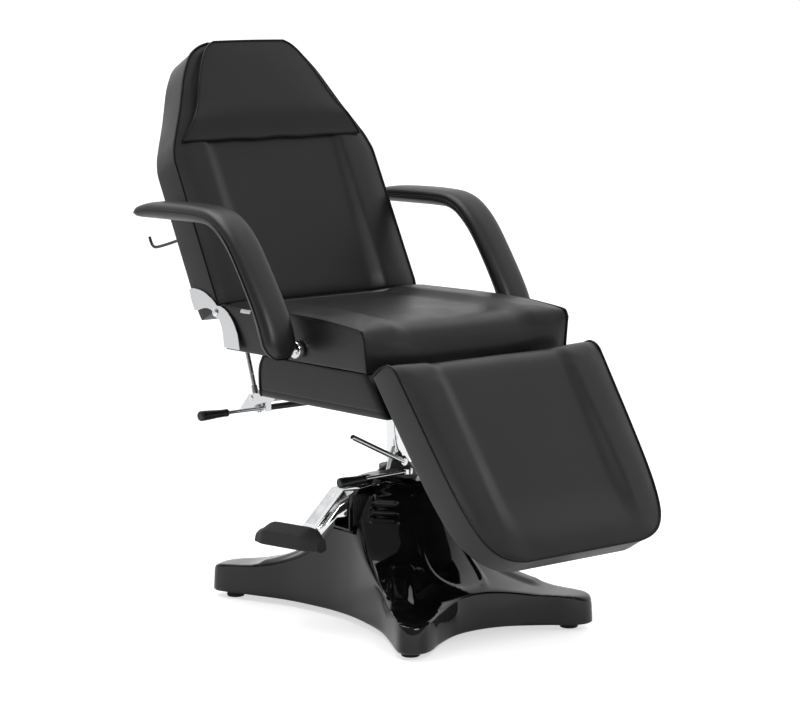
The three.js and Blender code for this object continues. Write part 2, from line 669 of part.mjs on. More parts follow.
// Butt hinges between the tray and the leg rest, and the lug that takes the leg strut.
function makeLegHinges(root) {
  const [hy, hz] = legHinge;
  const lean = rad(legLean);
  const legPoint = (depth, down) => [
    legOrigin[0] + depth * Math.cos(lean) - down * Math.sin(lean),
    legOrigin[1] - depth * Math.sin(lean) - down * Math.cos(lean)];
  const strap = (front, back, top, bottom) => (
    [legPoint(front, top), legPoint(front, bottom), legPoint(back, bottom), legPoint(back, top)]);
  const rear = padThick + boardThick + gap;
  for (const [hand, s] of bothHands) {
    const x = s * 205;
    const barrelSeat = rod([x - 10, hy, hz], [x + 10, hy, hz], 6, 20);
    const seatLeaf = block([x - 10, x + 10], [hy + 3, -185], [frameTop - 5, frameTop - 1.5]);
    const seatWide = block([x - 28, x + 28], [hy + 14, -185], [frameTop - 3, frameTop]);
    const pinBore = rod([x - 12, hy, hz], [x + 12, hy, hz], 3.3, 16);
    add(root, `leg_hinge_seat_${hand}`, cut(join(barrelSeat, seatLeaf, seatWide), pinBore), paintedSteel);

    const sides = [[x - 24, x - 10.4], [x + 10.4, x + 24]];
    const knuckles = sides.map(([from, to]) => rod([from, hy, hz], [to, hy, hz], 6, 20));
    const pin = rod([x - 23, hy, hz], [x + 23, hy, hz], 3, 16);
    const leaf = plateX(strap(rear, rear + 3, 10, 60), x - 22, x + 22);
    const armShape = [legPoint(rear + 0.4, 11), legPoint(rear + 0.4, 26), legPoint(rear + 4.6, 26),
      legPoint(rear + 4.6, 13), legPoint(rear + 14, -3), legPoint(rear + 9.5, -8)];
    const arms = sides.map(([from, to]) => plateX(armShape, from + 0.5, to - 0.5));
    add(root, `leg_hinge_leg_${hand}`, join(...knuckles, pin, leaf, ...arms), paintedSteel);
  }
  const lug = [legPoint(rear, 130), legPoint(rear, 190), legPoint(rear + 24, 172), legPoint(rear + 24, 142)];
  const lugs = [[-11, -8], [8, 11]].map(([a, b]) => plateX(lug, a, b));
  const foot = plateX(strap(rear, rear + 3, 125, 195), -24, 24);
  add(root, 'leg_strut_clevis', join(...lugs, foot), paintedSteel);
}

// ---------------------------------------------------------------- armrests
// Side view of the arm: y, z and half depth along its middle, from the rear tip to the pivot.
const armLine = [[490, 915, 9], [465, 920, 15], [420, 925, 19], [335, 927, 19], [250, 927, 19],
  [195, 922, 19], [152, 903, 19.5], [108, 864, 20], [60, 800, 21], [16, 733, 22.5], [-10, 680, 25],
  [-20, 648, 26]];

function makeArms(root) {
  const outline = stroke(armLine);
  for (const [hand, s] of bothHands) {
    const boardEnd = armInner + armBoardThick;
    add(root, `arm_board_${hand}`, mirrored(outline, s, armInner, boardEnd, [[...armPivot, 6.4]]), timber);
    add(root, `arm_pad_${hand}`, mirrored(outline, s, boardEnd + gap, armOuter, [[...armPivot, 14]]), vinyl);
    const bolt = toX(turned([[0, 273], [6, 273], [6, 300.4], [23, 300.4], [23, 314.6], [6, 314.6], [6, 324.6],
      [12, 324.6], [12, 332], [0, 332]]));
    if (s < 0) bolt.rotateY(Math.PI);
    add(root, `arm_pivot_${hand}`, bolt.translate(0, ...armPivot), chrome);
  }
}

// ---------------------------------------------------------------- whole bed
const bed = new THREE.Group();
bed.position.y = originShift;
makeBase(bed);
makeColumn(bed);
makeSeatFrame(bed);
makeApron(bed);
makeSeatPad(bed);
makeHinges(bed);
makeReclineGear(bed);
makeLegStrut(bed);
makeBackrest(bed);
makeLegRest(bed);
makeLegHinges(bed);
makeArms(bed);

const object = new THREE.Group();
object.add(bed);
export default object;
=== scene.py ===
"""Looks for the facial treatment bed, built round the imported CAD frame.

Metres, +Z up, +X to the occupant's left, -Y in front. Sizes below are in millimetres, measured from the
column's axis, and turned into metres by at().
"""

import math

import bmesh
import bpy
import numpy as np
from mathutils import Matrix, Vector


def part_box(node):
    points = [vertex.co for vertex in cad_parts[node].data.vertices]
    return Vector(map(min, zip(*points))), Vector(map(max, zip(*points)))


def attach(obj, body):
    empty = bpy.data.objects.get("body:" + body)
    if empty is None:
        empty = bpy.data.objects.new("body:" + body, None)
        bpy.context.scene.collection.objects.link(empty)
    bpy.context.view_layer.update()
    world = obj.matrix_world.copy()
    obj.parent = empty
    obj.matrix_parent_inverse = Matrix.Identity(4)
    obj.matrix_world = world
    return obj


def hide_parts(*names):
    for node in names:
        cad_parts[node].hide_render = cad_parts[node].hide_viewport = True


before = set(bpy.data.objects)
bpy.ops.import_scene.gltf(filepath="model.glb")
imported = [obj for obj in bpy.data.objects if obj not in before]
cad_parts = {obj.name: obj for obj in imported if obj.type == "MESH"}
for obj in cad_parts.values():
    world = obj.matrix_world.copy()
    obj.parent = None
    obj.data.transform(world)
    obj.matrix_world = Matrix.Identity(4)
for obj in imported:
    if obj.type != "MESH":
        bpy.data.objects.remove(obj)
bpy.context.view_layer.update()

MM = 0.001
scene = bpy.context.scene

# ---------------- places
column_low, column_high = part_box("column")
COLUMN_Y = (column_low.y + column_high.y) / 2
BASE_TURN = math.radians(-4.2)
BACK_LEAN = math.radians(27)
LEG_LEAN = math.radians(35.3)
# The near ends of the backrest's and the leg rest's front faces, in side view: y, z.
BACK_FOOT = (287, 716)
LEG_HEAD = (-332, 653)
HANDS = (("right", -1), ("left", 1))
UP = (0, 0, 1)


def at(x, y, z):
    """A point given in millimetres from the column's axis and the floor."""
    return Vector((x * MM, y * MM + COLUMN_Y, z * MM))


def on_base(x, y, z):
    """The same for the base, which stands turned under the seat."""
    c, s = math.cos(BASE_TURN), math.sin(BASE_TURN)
    return at(x * c - y * s, x * s + y * c, z)


def on_back(x, depth, up):
    """A point on the backrest: across, behind its front face, and up along it."""
    c, s = math.cos(BACK_LEAN), math.sin(BACK_LEAN)
    return at(x, BACK_FOOT[0] + depth * c + up * s, BACK_FOOT[1] - depth * s + up * c)


def on_leg(x, depth, down):
    """A point on the leg rest: across, behind its front face, and down along it."""
    c, s = math.cos(LEG_LEAN), math.sin(LEG_LEAN)
    return at(x, LEG_HEAD[0] + depth * c - down * s, LEG_HEAD[1] - depth * s - down * c)


# ---------------- small helpers
def clamp(v, low=0.0, high=1.0):
    return max(low, min(high, v))


def mix(a, b, t):
    return a + (b - a) * t


def ease(low, high, v):
    t = clamp((v - low) / (high - low))
    return t * t * (3 - 2 * t)


def round_drop(distance, radius):
    """How far a rounded edge has fallen away, that far in from the edge."""
    left = clamp(radius - distance, 0, radius)
    return radius - math.sqrt(radius * radius - left * left)


def lookup(table, v):
    """Value at v in a table of (v, value) rows, along a smooth curve through them."""
    xs = [row[0] for row in table]
    ys = [row[1] for row in table]
    if v <= xs[0]:
        return ys[0]
    if v >= xs[-1]:
        return ys[-1]
    k = max(i for i in range(len(xs) - 1) if xs[i] <= v)

    def slope(i):
        if i in (0, len(xs) - 1):
            return 0.0
        a = (ys[i] - ys[i - 1]) / (xs[i] - xs[i - 1])
        b = (ys[i + 1] - ys[i]) / (xs[i + 1] - xs[i])
        return 0.0 if a * b <= 0 else 2 * a * b / (a + b)

    h = xs[k + 1] - xs[k]
    t = (v - xs[k]) / h
    return (
        ys[k] * (1 + 2 * t) * (1 - t) ** 2
        + slope(k) * h * t * (1 - t) ** 2
        + ys[k + 1] * t * t * (3 - 2 * t)
        - slope(k + 1) * h * t * t * (1 - t)
    )


def curve_point(p0, p1, p2, p3, t):
    """A point a share t of the way from p1 to p2, on the smooth curve through all four."""
    a = p1 * 2 + (p2 - p0) * t
    b = (p0 * 2 - p1 * 5 + p2 * 4 - p3) * t * t
    c = (p1 * 3 - p0 - p2 * 3 + p3) * t * t * t
    return (a + b + c) * 0.5


def spline(points, steps, closed=False):
    """Points along a smooth curve through the given ones."""
    pts = [Vector(p) for p in points]
    n = len(pts)
    out = []
    for i in range(n if closed else n - 1):
        p0 = pts[i - 1] if closed or i > 0 else pts[0] * 2 - pts[1]
        p1, p2 = pts[i], pts[(i + 1) % n]
        p3 = pts[(i + 2) % n] if closed or i + 2 < n else pts[-1] * 2 - pts[-2]
        out += [curve_point(p0, p1, p2, p3, k / steps) for k in range(steps)]
    if not closed:
        out.append(pts[-1])
    return out


def spaced(low, high, cells, edge):
    """Even steps, with one more line close to each end."""
    inner = [mix(low, high, i / cells) for i in range(1, cells)]
    return [low, low + edge, *inner, high - edge, high]


# ---------------- materials
def shader(name, colour, roughness, metallic=0.0, specular=0.5):
    m = bpy.data.materials.new(name)
    m.use_nodes = True
    b = m.node_tree.nodes["Principled BSDF"]
    b.inputs["Base Color"].default_value = (*colour, 1)
    b.inputs["Roughness"].default_value = roughness
    b.inputs["Metallic"].default_value = metallic
    b.inputs["Specular IOR Level"].default_value = specular
    return m


def add_node(tree, kind, **inputs):
    """A shader node. Each input is a value, or the output of another node."""
    node = tree.nodes.new(kind)
    for name, value in inputs.items():
        socket = node.inputs[name.replace("_", " ")]
        if isinstance(value, bpy.types.NodeSocket):
            tree.links.new(value, socket)
        else:
            socket.default_value = value
    return node


def texture(m, kind, scale, detail):
    t = m.node_tree
    where = t.nodes.get("where") or t.nodes.new("ShaderNodeTexCoord")
    where.name = "where"
    return add_node(t, kind, Vector=where.outputs["Object"], Scale=scale, Detail=detail)


def noise(m, scale, detail):
    return texture(m, "ShaderNodeTexNoise", scale, detail).outputs["Fac"]


def pebbles(m, scale, distance="EUCLIDEAN", randomness=1.0):
    node = texture(m, "ShaderNodeTexVoronoi", scale, 2.0)
    node.distance = distance
    node.inputs["Randomness"].default_value = randomness
    return node.outputs["Distance"]


def ranged(m, noisy, low, high):
    """The middle of a noise's range, as a number from low to high."""
    ends = {"From_Min": 0.3, "From_Max": 0.7, "To_Min": low, "To_Max": high}
    return add_node(m.node_tree, "ShaderNodeMapRange", Value=noisy, **ends).outputs["Result"]


def roughen(m, noisy, low, high):
    b = m.node_tree.nodes["Principled BSDF"]
    m.node_tree.links.new(ranged(m, noisy, low, high), b.inputs["Roughness"])


def tint(m, noisy, dark, light):
    t = m.node_tree
    node = t.nodes.new("ShaderNodeMix")
    node.data_type = "RGBA"
    node.inputs[6].default_value = (*dark, 1)
    node.inputs[7].default_value = (*light, 1)
    t.links.new(ranged(m, noisy, 0, 1), node.inputs[0])
    t.links.new(node.outputs[2], t.nodes["Principled BSDF"].inputs["Base Color"])


def bumps(m, *layers):
    """Stacked bumps: (source, strength, height in metres)."""
    t = m.node_tree
    last = {}
    for source, strength, height in layers:
        node = add_node(t, "ShaderNodeBump", Height=source, Strength=strength, Distance=height, **last)
        last = {"Normal": node.outputs["Normal"]}
    t.links.new(last["Normal"], t.nodes["Principled BSDF"].inputs["Normal"])


def make_vinyl(name, dark, light, roughness, grain, shine=0.42):
    """Upholstery vinyl: a fine pebbled grain, soft wear marks and slightly uneven shine."""
    m = shader(name, dark, roughness, specular=shine)
    cells = pebbles(m, 620)
    fine = noise(m, 1500, 3)
    broad = noise(m, 14, 4)
    worn = noise(m, 3.5, 2)
    tint(m, worn, dark, light)
    roughen(m, broad, roughness - 0.03, roughness + 0.05)
    bumps(m, (broad, 0.10, 0.002), (cells, grain, 0.00035), (fine, grain * 0.6, 0.0002))
    return m


def make_metal(name, colour, roughness, scratch=0.02):
    m = shader(name, colour, roughness, metallic=1.0)
    streaks = noise(m, 55, 3)
    roughen(m, streaks, roughness, roughness + 0.05)
    bumps(m, (streaks, scratch, 0.0006))
    return m


def make_paint(name, colour, roughness, orange=0.15):
    """Powder coat: an even colour with a faint orange-peel surface."""
    m = shader(name, colour, roughness)
    peel = noise(m, 420, 3)
    patch = noise(m, 9, 2)
    tint(m, patch, colour, tuple(c * 1.35 for c in colour))
    roughen(m, patch, roughness - 0.04, roughness + 0.06)
    bumps(m, (peel, orange, 0.0004))
    return m


def make_gloss(name):
    m = shader(name, (0.003, 0.003, 0.0034), 0.04, specular=0.45)
    ripple = noise(m, 5, 1)
    dust = noise(m, 40, 4)
    tint(m, dust, (0.0035, 0.0035, 0.004), (0.007, 0.007, 0.008))
    roughen(m, dust, 0.03, 0.07)
    bumps(m, (ripple, 0.06, 0.004))
    return m


def make_rubber(name, pitch):
    """Moulded rubber with a fine raised pattern of the given pitch in millimetres."""
    m = shader(name, (0.014, 0.014, 0.015), 0.62, specular=0.4)
    cells = pebbles(m, 1000 / pitch, "CHEBYCHEV", 0.25)
    speck = noise(m, 260, 3)
    tint(m, speck, (0.011, 0.011, 0.012), (0.021, 0.021, 0.022))
    roughen(m, speck, 0.55, 0.72)
    bumps(m, (cells, 0.45, 0.0012), (speck, 0.2, 0.0003))
    return m


vinyl = make_vinyl("vinyl", (0.0058, 0.0058, 0.0060), (0.0085, 0.0085, 0.0088), 0.37, 0.16)
# The piping's vinyl is far darker than the pads': painted shade standing in for the dark creases beside the
# seams.
welt_painted_shade = make_vinyl("welt_painted_shade", (0.0012, 0.0012, 0.0013), (0.002, 0.002, 0.0021), 0.30, 0.06, shine=0.22)
# The armrests' vinyl is a lighter, shinier copy of the pads' vinyl: painted light, to brighten the near
# armrest.
arm_vinyl = make_vinyl("arm_vinyl", (0.0075, 0.0075, 0.0078), (0.011, 0.011, 0.0114), 0.39, 0.16, shine=0.54)
backing = make_vinyl("backing", (0.010, 0.010, 0.0105), (0.014, 0.014, 0.0145), 0.62, 0.30)
chrome = make_metal("chrome", (0.82, 0.83, 0.84), 0.05)
plate_chrome = make_metal("plate_chrome", (0.76, 0.77, 0.78), 0.16)
steel = make_metal("zinc_steel", (0.55, 0.56, 0.57), 0.24, 0.06)
paint = make_paint("black_powder_coat", (0.012, 0.012, 0.0125), 0.38)
gloss = make_gloss("gloss_shell")
rubber = make_rubber("rubber", 3.2)
foot_rubber = make_rubber("foot_rubber", 1.6)
handle = make_paint("grip_plastic", (0.006, 0.006, 0.0062), 0.30, 0.12)
label_white = make_paint("label_cloth", (0.75, 0.75, 0.74), 0.8, 0.4)


# ---------------- geometry
def piece(name, verts, faces, material, body, sharp=38, bevel=0.0):
    """A closed mesh, smooth but for its sharp edges, which rides on a body."""
    mesh = bpy.data.meshes.new(name)
    mesh.from_pydata([tuple(v) for v in verts], [], faces)
    work = bmesh.new()
    work.from_mesh(mesh)
    bmesh.ops.remove_doubles(work, verts=work.verts, dist=1e-6)
    bmesh.ops.recalc_face_normals(work, faces=work.faces)
    work.to_mesh(mesh)
    work.free()
    mesh.shade_smooth()
    obj = bpy.data.objects.new(name, mesh)
    scene.collection.objects.link(obj)
    mesh.materials.append(material)
    if bevel:
        m = obj.modifiers.new("bevel", "BEVEL")
        m.width = bevel * MM
        m.segments = 3
        m.limit_method = "ANGLE"
        m.angle_limit = math.radians(sharp)
        m.harden_normals = True
    elif sharp < 180:
        mesh.set_sharp_from_angle(angle=math.radians(sharp))
    if body:
        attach(obj, body)
    return obj


def lattice(us, vs, ts, place):
    """The skin of a box of cells: vertices, faces, and each vertex by its place (i, j, k)."""
    index = {}
    verts = []
    n = [len(us) - 1, len(vs) - 1, len(ts) - 1]

    def vert(key):
        if key not in index:
            index[key] = len(verts)
            verts.append(place(us[key[0]], vs[key[1]], ts[key[2]]))
        return index[key]

    faces = []
    for axis in range(3):
        a, b = [(1, 2), (0, 2), (0, 1)][axis]
        for end in (0, n[axis]):
            for i in range(n[a]):
                for j in range(n[b]):
                    loop = []
                    for di, dj in ((0, 0), (1, 0), (1, 1), (0, 1)):
                        key = [0, 0, 0]
                        key[axis], key[a], key[b] = end, i + di, j + dj
                        loop.append(vert(tuple(key)))
                    faces.append(loop)
    return verts, faces, index


def ring_faces(rows, sides, closed=False):
    """Faces that join rings of vertices, with a cap on each end unless the rings close on themselves."""
    faces = []
    for i in range(rows if closed else rows - 1):
        low, high = i * sides, (i + 1) % rows * sides
        for k in range(sides):
            m = (k + 1) % sides
            faces.append((low + k, low + m, high + m, high + k))
    if not closed:
        faces.append(list(range(sides)))
        faces.append([(rows - 1) * sides + k for k in range(sides)])
    return faces


def tube(points, radius, sides, closed=False):
    """A round tube along points."""
    pts = [Vector(p) for p in points]
    n = len(pts)

    def tangent(i):
        before = pts[i - 1] if closed or i > 0 else pts[i]
        after = pts[(i + 1) % n] if closed or i < n - 1 else pts[i]
        return (after - before).normalized()

    first = tangent(0)
    side = first.orthogonal().normalized()
    normals = [side]
    for i in range(1, n):
        turn = tangent(i - 1).rotation_difference(tangent(i))
        normals.append((turn @ normals[-1]).normalized())
    twist = 0.0
    if closed:
        turn = tangent(n - 1).rotation_difference(first)
        end = turn @ normals[-1]
        twist = math.atan2(first.dot(side.cross(end)), side.dot(end))
    verts = []
    for i in range(n):
        t = tangent(i)
        a = Matrix.Rotation(-twist * i / n, 3, t) @ normals[i]
        b = t.cross(a)
        for k in range(sides):
            angle = 2 * math.pi * k / sides
            verts.append(pts[i] + (a * math.cos(angle) + b * math.sin(angle)) * radius)
    return verts, ring_faces(n, sides, closed)


def lathe(profile, origin, axis, sides=40):
    """A turned solid: (radius, height) rows in millimetres, from one end on the axis to the other."""
    origin, axis = Vector(origin), Vector(axis).normalized()
    a = axis.orthogonal().normalized()
    b = axis.cross(a)
    verts = []
    for r, h in profile:
        for k in range(sides):
            angle = 2 * math.pi * k / sides
            out = a * math.cos(angle) + b * math.sin(angle)
            verts.append(origin + axis * (h * MM) + out * (max(r, 0.01) * MM))
    return verts, ring_faces(len(profile), sides)


def slab(outline, low, high, place):
    """A flat outline (a, b) given a thickness: place(a, b, c) puts it in the scene."""
    n = len(outline)
    verts = [place(a, b, c) for c in (low, high) for a, b in outline]
    faces = [list(range(n)), [n + i for i in range(n)]]
    faces += [(i, (i + 1) % n, n + (i + 1) % n, n + i) for i in range(n)]
    return verts, faces


def merged(*parts):
    """Several (verts, faces) as one."""
    verts = []
    faces = []
    for v, f in parts:
        start = len(verts)
        verts += v
        faces += [[start + i for i in loop] for loop in f]
    return verts, faces


def box_of(low, high, place):
    (x0, y0, z0), (x1, y1, z1) = low, high
    return slab([(x0, y0), (x1, y0), (x1, y1), (x0, y1)], z0, z1, place)


# ---------------- padding
def stuff(obj, pinned, pressure, cap):
    """Swells a closed mesh by cloth simulation, held at the pinned vertices, and keeps the result."""
    mesh = obj.data
    rest = np.array([v.co for v in mesh.vertices], float)
    group = obj.vertex_groups.new(name="held")
    group.add(sorted(pinned), 1.0, "REPLACE")
    cloth = obj.modifiers.new("cloth", "CLOTH")
    settings = cloth.settings
    settings.quality = 4
    settings.mass = 0.25
    settings.tension_stiffness = settings.compression_stiffness = 25
    settings.shear_stiffness = 15
    settings.bending_stiffness = 1.5
    settings.use_pressure = True
    settings.uniform_pressure_force = pressure
    settings.vertex_group_mass = "held"
    settings.effector_weights.gravity = 0
    cloth.point_cache.frame_start = 1
    cloth.point_cache.frame_end = 20
    for f in range(1, 21):
        scene.frame_set(f)
    done = obj.evaluated_get(bpy.context.evaluated_depsgraph_get())
    moved = np.array([v.co for v in done.data.vertices], float) - rest
    far = np.linalg.norm(moved, axis=1)
    share = np.where(far > 1e-9, cap * MM * np.tanh(far / (cap * MM)) / np.maximum(far, 1e-9), 0)
    obj.modifiers.remove(cloth)
    scene.frame_set(1)
    mesh.vertices.foreach_set("co", (rest + moved * share[:, None]).astype(np.float32).ravel())
    mesh.update()


def soften(obj):
    m = obj.modifiers.new("subdivision", "SUBSURF")
    m.levels = m.render_levels = 1


def padded_piece(name, body, nodes, us, vs, ts, place, seams, pressure, cap, piping=3.1):
    """A stuffed cover made on a lattice, with piping of that radius along its seams: (keys, closed)."""
    verts, faces, index = lattice(us, vs, ts, place)
    obj = piece(name, verts, faces, vinyl, None, sharp=180)
    held = {index[key] for keys, _ in seams for key in keys}
    held |= {i for (_, _, k), i in index.items() if k == len(ts) - 1}
    stuff(obj, held, pressure, cap)
    lines = [([obj.data.vertices[index[key]].co.copy() for key in keys], closed) for keys, closed in seams]
    soften(obj)
    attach(obj, body)
    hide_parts(*nodes)
    welts(name.removesuffix("_pad") + "_piping", body, lines, piping)


def welts(name, body, lines, radius):
    """Piping sewn into seams, in a much darker vinyl: painted shade for the dark crease lines along them."""
    parts = [tube(spline(points, 3, closed), radius * MM, 10, closed) for points, closed in lines]
    obj = piece(name, *merged(*parts), welt_painted_shade, body, sharp=180)


# Share of a pad's half width, counted in mesh columns, that lies inside the bolster's ridge. The ridge
# is never further out than RIDGE_LIMIT of the half width.
RIDGE_SHARE = 0.68
RIDGE_LIMIT = 0.82


def across(u, half, ridge):
    """x for a share u of the width, with the bolster's ridge on a line of its own."""
    ridge = min(ridge, RIDGE_LIMIT * half)
    a = abs(u)
    if a <= RIDGE_SHARE:
        return math.copysign(ridge * a / RIDGE_SHARE, u)
    return math.copysign(mix(ridge, half, (a - RIDGE_SHARE) / (1 - RIDGE_SHARE)), u)


def bolster(x, half, ridge, slope):
    """0 on the middle panel, rising over slope mm to 1 at the ridge and on the side bolster."""
    ridge = min(ridge, RIDGE_LIMIT * half)
    q = clamp((abs(x) - ridge + slope) / slope)
    return q**1.35


U_STEPS = (
    [-1, -0.985]
    + [mix(-1, -RIDGE_SHARE, i / 8) for i in range(1, 8)]
    + [-RIDGE_SHARE]
    + [mix(-RIDGE_SHARE, RIDGE_SHARE, i / 44) for i in range(1, 44)]
    + [RIDGE_SHARE]
    + [mix(RIDGE_SHARE, 1, i / 8) for i in range(1, 8)]
    + [0.985, 1]
)

# ---------------- backrest
BACK_HALF = [
    (0, 294), (20, 297), (200, 297), (350, 297), (390, 288), (420, 274), (483, 241), (530, 219),
    (572, 199), (605, 178), (624, 163), (638, 144), (648, 122), (653, 104),
]
BACK_LENGTH = 653
BACK_DEPTH = 88
BACK_RIDGE = 203


def back_front(x, s, half):
    """Depth of the backrest's front face behind the plane of its piping."""
    slope = mix(46, 22, clamp(s / 420))
    rise = mix(15, 7, clamp(s / 420))
    recess = rise * (1 - bolster(x, half, BACK_RIDGE, slope)) - 4
    edge = ease(0, 26, half - abs(x)) * ease(0, 22, BACK_LENGTH - s)
    return recess * edge


def back_place(u, v, t):
    s = BACK_LENGTH * v
    half = lookup(BACK_HALF, s)
    x = across(u, half, BACK_RIDGE)
    front = back_front(x, s, half) + round_drop(s, 7) * 0.8
    depth = mix(front, BACK_DEPTH, t)
    tuck = 1 - 0.012 * t * t
    return on_back(x * tuck, depth, s - 10 * (1 - ease(0, 0.1, v)))


def edge_keys(nu, nv):
    """Keys up the low-u side, along the v end, and down the high-u side, on the front face."""
    up = [(0, j, 0) for j in range(nv)]
    end = [(i, nv, 0) for i in range(nu + 1)]
    return up + end + [(nu, j, 0) for j in range(nv - 1, -1, -1)]


V_BACK = spaced(0, 1, 62, 0.007)
T_BACK = [0, 0.05, 0.2, 0.4, 0.6, 0.8, 0.95, 1]
nu = len(U_STEPS) - 1
padded_piece(
    "back_pad", "backrest", ["back_pad"], U_STEPS, V_BACK, T_BACK, back_place,
    [(edge_keys(nu, len(V_BACK) - 1), False)], 3.0, 6,
)


def rear_place(u, v, t):
    """The cloth-covered board that closes the back of the backrest."""
    s = mix(-3, 646, v)
    half = lookup(BACK_HALF, s) - 7
    edge = min(half * (1 - abs(u)), 649 * v, 649 * (1 - v))
    return on_back(half * u, mix(BACK_DEPTH - 3, 92.6 - 3 * (1 - ease(0, 16, edge)), t), s)


EVEN = [i / 20 for i in range(21)]
verts, faces, _ = lattice([2 * i - 1 for i in EVEN], [i / 40 for i in range(41)], [0, 1], rear_place)
back_board = piece("back_board", verts, faces, backing, "backrest", sharp=60)
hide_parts("back_board")

# ---------------- head pillow
# Half width and thickness, by the height along the backrest.
PILLOW_LOW, PILLOW_HIGH = 400, 645
PILLOW_HALF = [
    (400, 264), (408, 259), (425, 246), (452, 225), (480, 207), (510, 193), (545, 179), (575, 165),
    (600, 151), (618, 139), (632, 126), (640, 116), (645, 104),
]
PILLOW_THICK = [
    (400, 10), (412, 15.5), (426, 21), (440, 27.5), (449, 29.5), (460, 28.5), (500, 27), (645, 26),
]


def pillow_place(u, v, t):
    s = mix(PILLOW_LOW, PILLOW_HIGH, v)
    half = lookup(PILLOW_HALF, s)
    x = half * u
    wave = 1.6 * math.sin(x * 0.045 + 0.6) * (1 - ease(0, 0.12, v)) * (1 - abs(u))
    front = -lookup(PILLOW_THICK, s) - 2.2 * (1 - u * u) * ease(0, 0.2, v) - wave * 0.6
    return on_back(x * (1 - 0.02 * t), mix(front, -0.5, t), s + wave)


V_PILLOW = spaced(0, 1, 26, 0.012)
U_PILLOW = spaced(-1, 1, 46, 0.012)
T_PILLOW = [0, 0.15, 0.5, 0.85, 1]
pu, pv = len(U_PILLOW) - 1, len(V_PILLOW) - 1
loop = [(i, 0, 0) for i in range(pu)] + [(pu, j, 0) for j in range(pv)]
loop += [(i, pv, 0) for i in range(pu, 0, -1)] + [(0, j, 0) for j in range(pv, 0, -1)]
rear_loop = [(i, j, len(T_PILLOW) - 1) for i, j, _ in loop]
padded_piece(
    "pillow", "backrest", ["pillow"], U_PILLOW, V_PILLOW, T_PILLOW, pillow_place,
    [(loop, True), (rear_loop, True)], 2.5, 5, piping=2.7,
)

# ---------------- seat
SEAT_EDGE = [(-246, 699), (-235, 702), (-180, 708), (-93, 714), (7, 715), (162, 714), (272, 713)]
SEAT_BOTTOM = 611
SEAT_FRONT, SEAT_REAR = -246, 272
SEAT_HALF, SEAT_RIDGE = 300, 203


def seat_place(u, v, t):
    y = mix(SEAT_FRONT, SEAT_REAR, v)
    x = across(u, SEAT_HALF, SEAT_RIDGE)
    inner = ease(0, 28, SEAT_HALF - abs(x))
    rise = mix(9, 15, ease(0, 0.5, v)) - 7 * ease(0.86, 1, v)
    hollow = rise * (1 - bolster(x, SEAT_HALF, SEAT_RIDGE, 44)) - 4
    roll = mix(12, 24, inner)
    top = lookup(SEAT_EDGE, y) - hollow * inner
    top -= round_drop(y - SEAT_FRONT, roll) + round_drop(SEAT_REAR - y, 12) * 0.8
    z = mix(top, SEAT_BOTTOM, t)
    belly = 4 * math.sin(math.pi * t) * (1 - ease(0, 0.02, v)) * inner
    tuck = 1 - 0.026 * t
    return at(x * tuck, y - belly - 12 * t * (v == 1), z)


V_SEAT = [0, 0.012, 0.026, 0.045] + [mix(0.07, 0.96, i / 40) for i in range(41)] + [0.985, 1]
T_SEAT = [0, 0.06, 0.2, 0.35, 0.5, 0.65, 0.8, 0.94, 1]
sv, st = len(V_SEAT) - 1, len(T_SEAT) - 1
side_seams = []
for i in (0, nu):
    down_front = [(i, 0, k) for k in range(st, -1, -1)]
    side_seams.append((down_front + [(i, j, 0) for j in range(1, sv + 1)], False))
padded_piece(
    "seat_pad", "seat", ["seat_pad", "seat_tray"], U_STEPS, V_SEAT, T_SEAT, seat_place, side_seams, 3.0, 6
)

# ---------------- leg rest
LEG_HALF = [
    (0, 299), (142, 294), (276, 287), (346, 281), (400, 272), (437, 261), (462, 247), (480, 229),
    (491, 208), (497, 186), (500, 165),
]
LEG_REAR = [(0, 80), (250, 82), (380, 78), (500, 58)]
LEG_LENGTH, LEG_RIDGE = 500, 195


def leg_place(u, v, t):
    s = LEG_LENGTH * v
    half = lookup(LEG_HALF, s)
    x = across(u, half, LEG_RIDGE)
    inner = ease(0, 26, half - abs(x))
    slope = mix(24, 40, clamp(s / 420))
    dip = mix(6, 11, clamp(s / 300)) * ease(0, 150, LEG_LENGTH - s)
    hollow = (dip * (1 - bolster(x, half, LEG_RIDGE, slope)) - 3 * ease(0, 24, LEG_LENGTH - s)) * inner
    front = hollow + round_drop(s, 40)
    depth = mix(front, lookup(LEG_REAR, s), t)
    return on_leg(x * (1 - 0.02 * t * t), depth, s - 2 * t * v)


V_LEG = [0, 0.01, 0.022, 0.036, 0.052] + [mix(0.072, 0.965, i / 44) for i in range(45)] + [0.983, 0.994, 1]
T_LEG = [0, 0.06, 0.22, 0.4, 0.6, 0.8, 0.94, 1]
lv = len(V_LEG) - 1
over_left = [(0, 0, k) for k in range(5, 0, -1)]
over_right = [(nu, 0, k) for k in range(1, 6)]
padded_piece(
    "leg_pad", "leg_rest", ["leg_pad", "leg_board"], U_STEPS, V_LEG, T_LEG, leg_place,
    [(over_left + edge_keys(nu, lv) + over_right, False)], 3.0, 6,
)

# ---------------- armrests
# Side view of an arm: y, z and half depth along its middle, from the rear tip to the pivot.
ARM_LINE = [
    (496, 914, 4), (488, 915, 9), (465, 920, 15), (420, 925, 19), (335, 927, 20), (250, 927, 20),
    (195, 922, 20), (152, 903, 20.5), (108, 864, 21), (60, 800, 22), (16, 733, 23.5), (-6, 690, 25),
    (-18, 661, 24), (-26, 641, 19), (-30, 631, 12), (-32, 626, 4),
]
ARM_MIDDLE, ARM_HALF = 357, 41
ARM_SIDES = 36


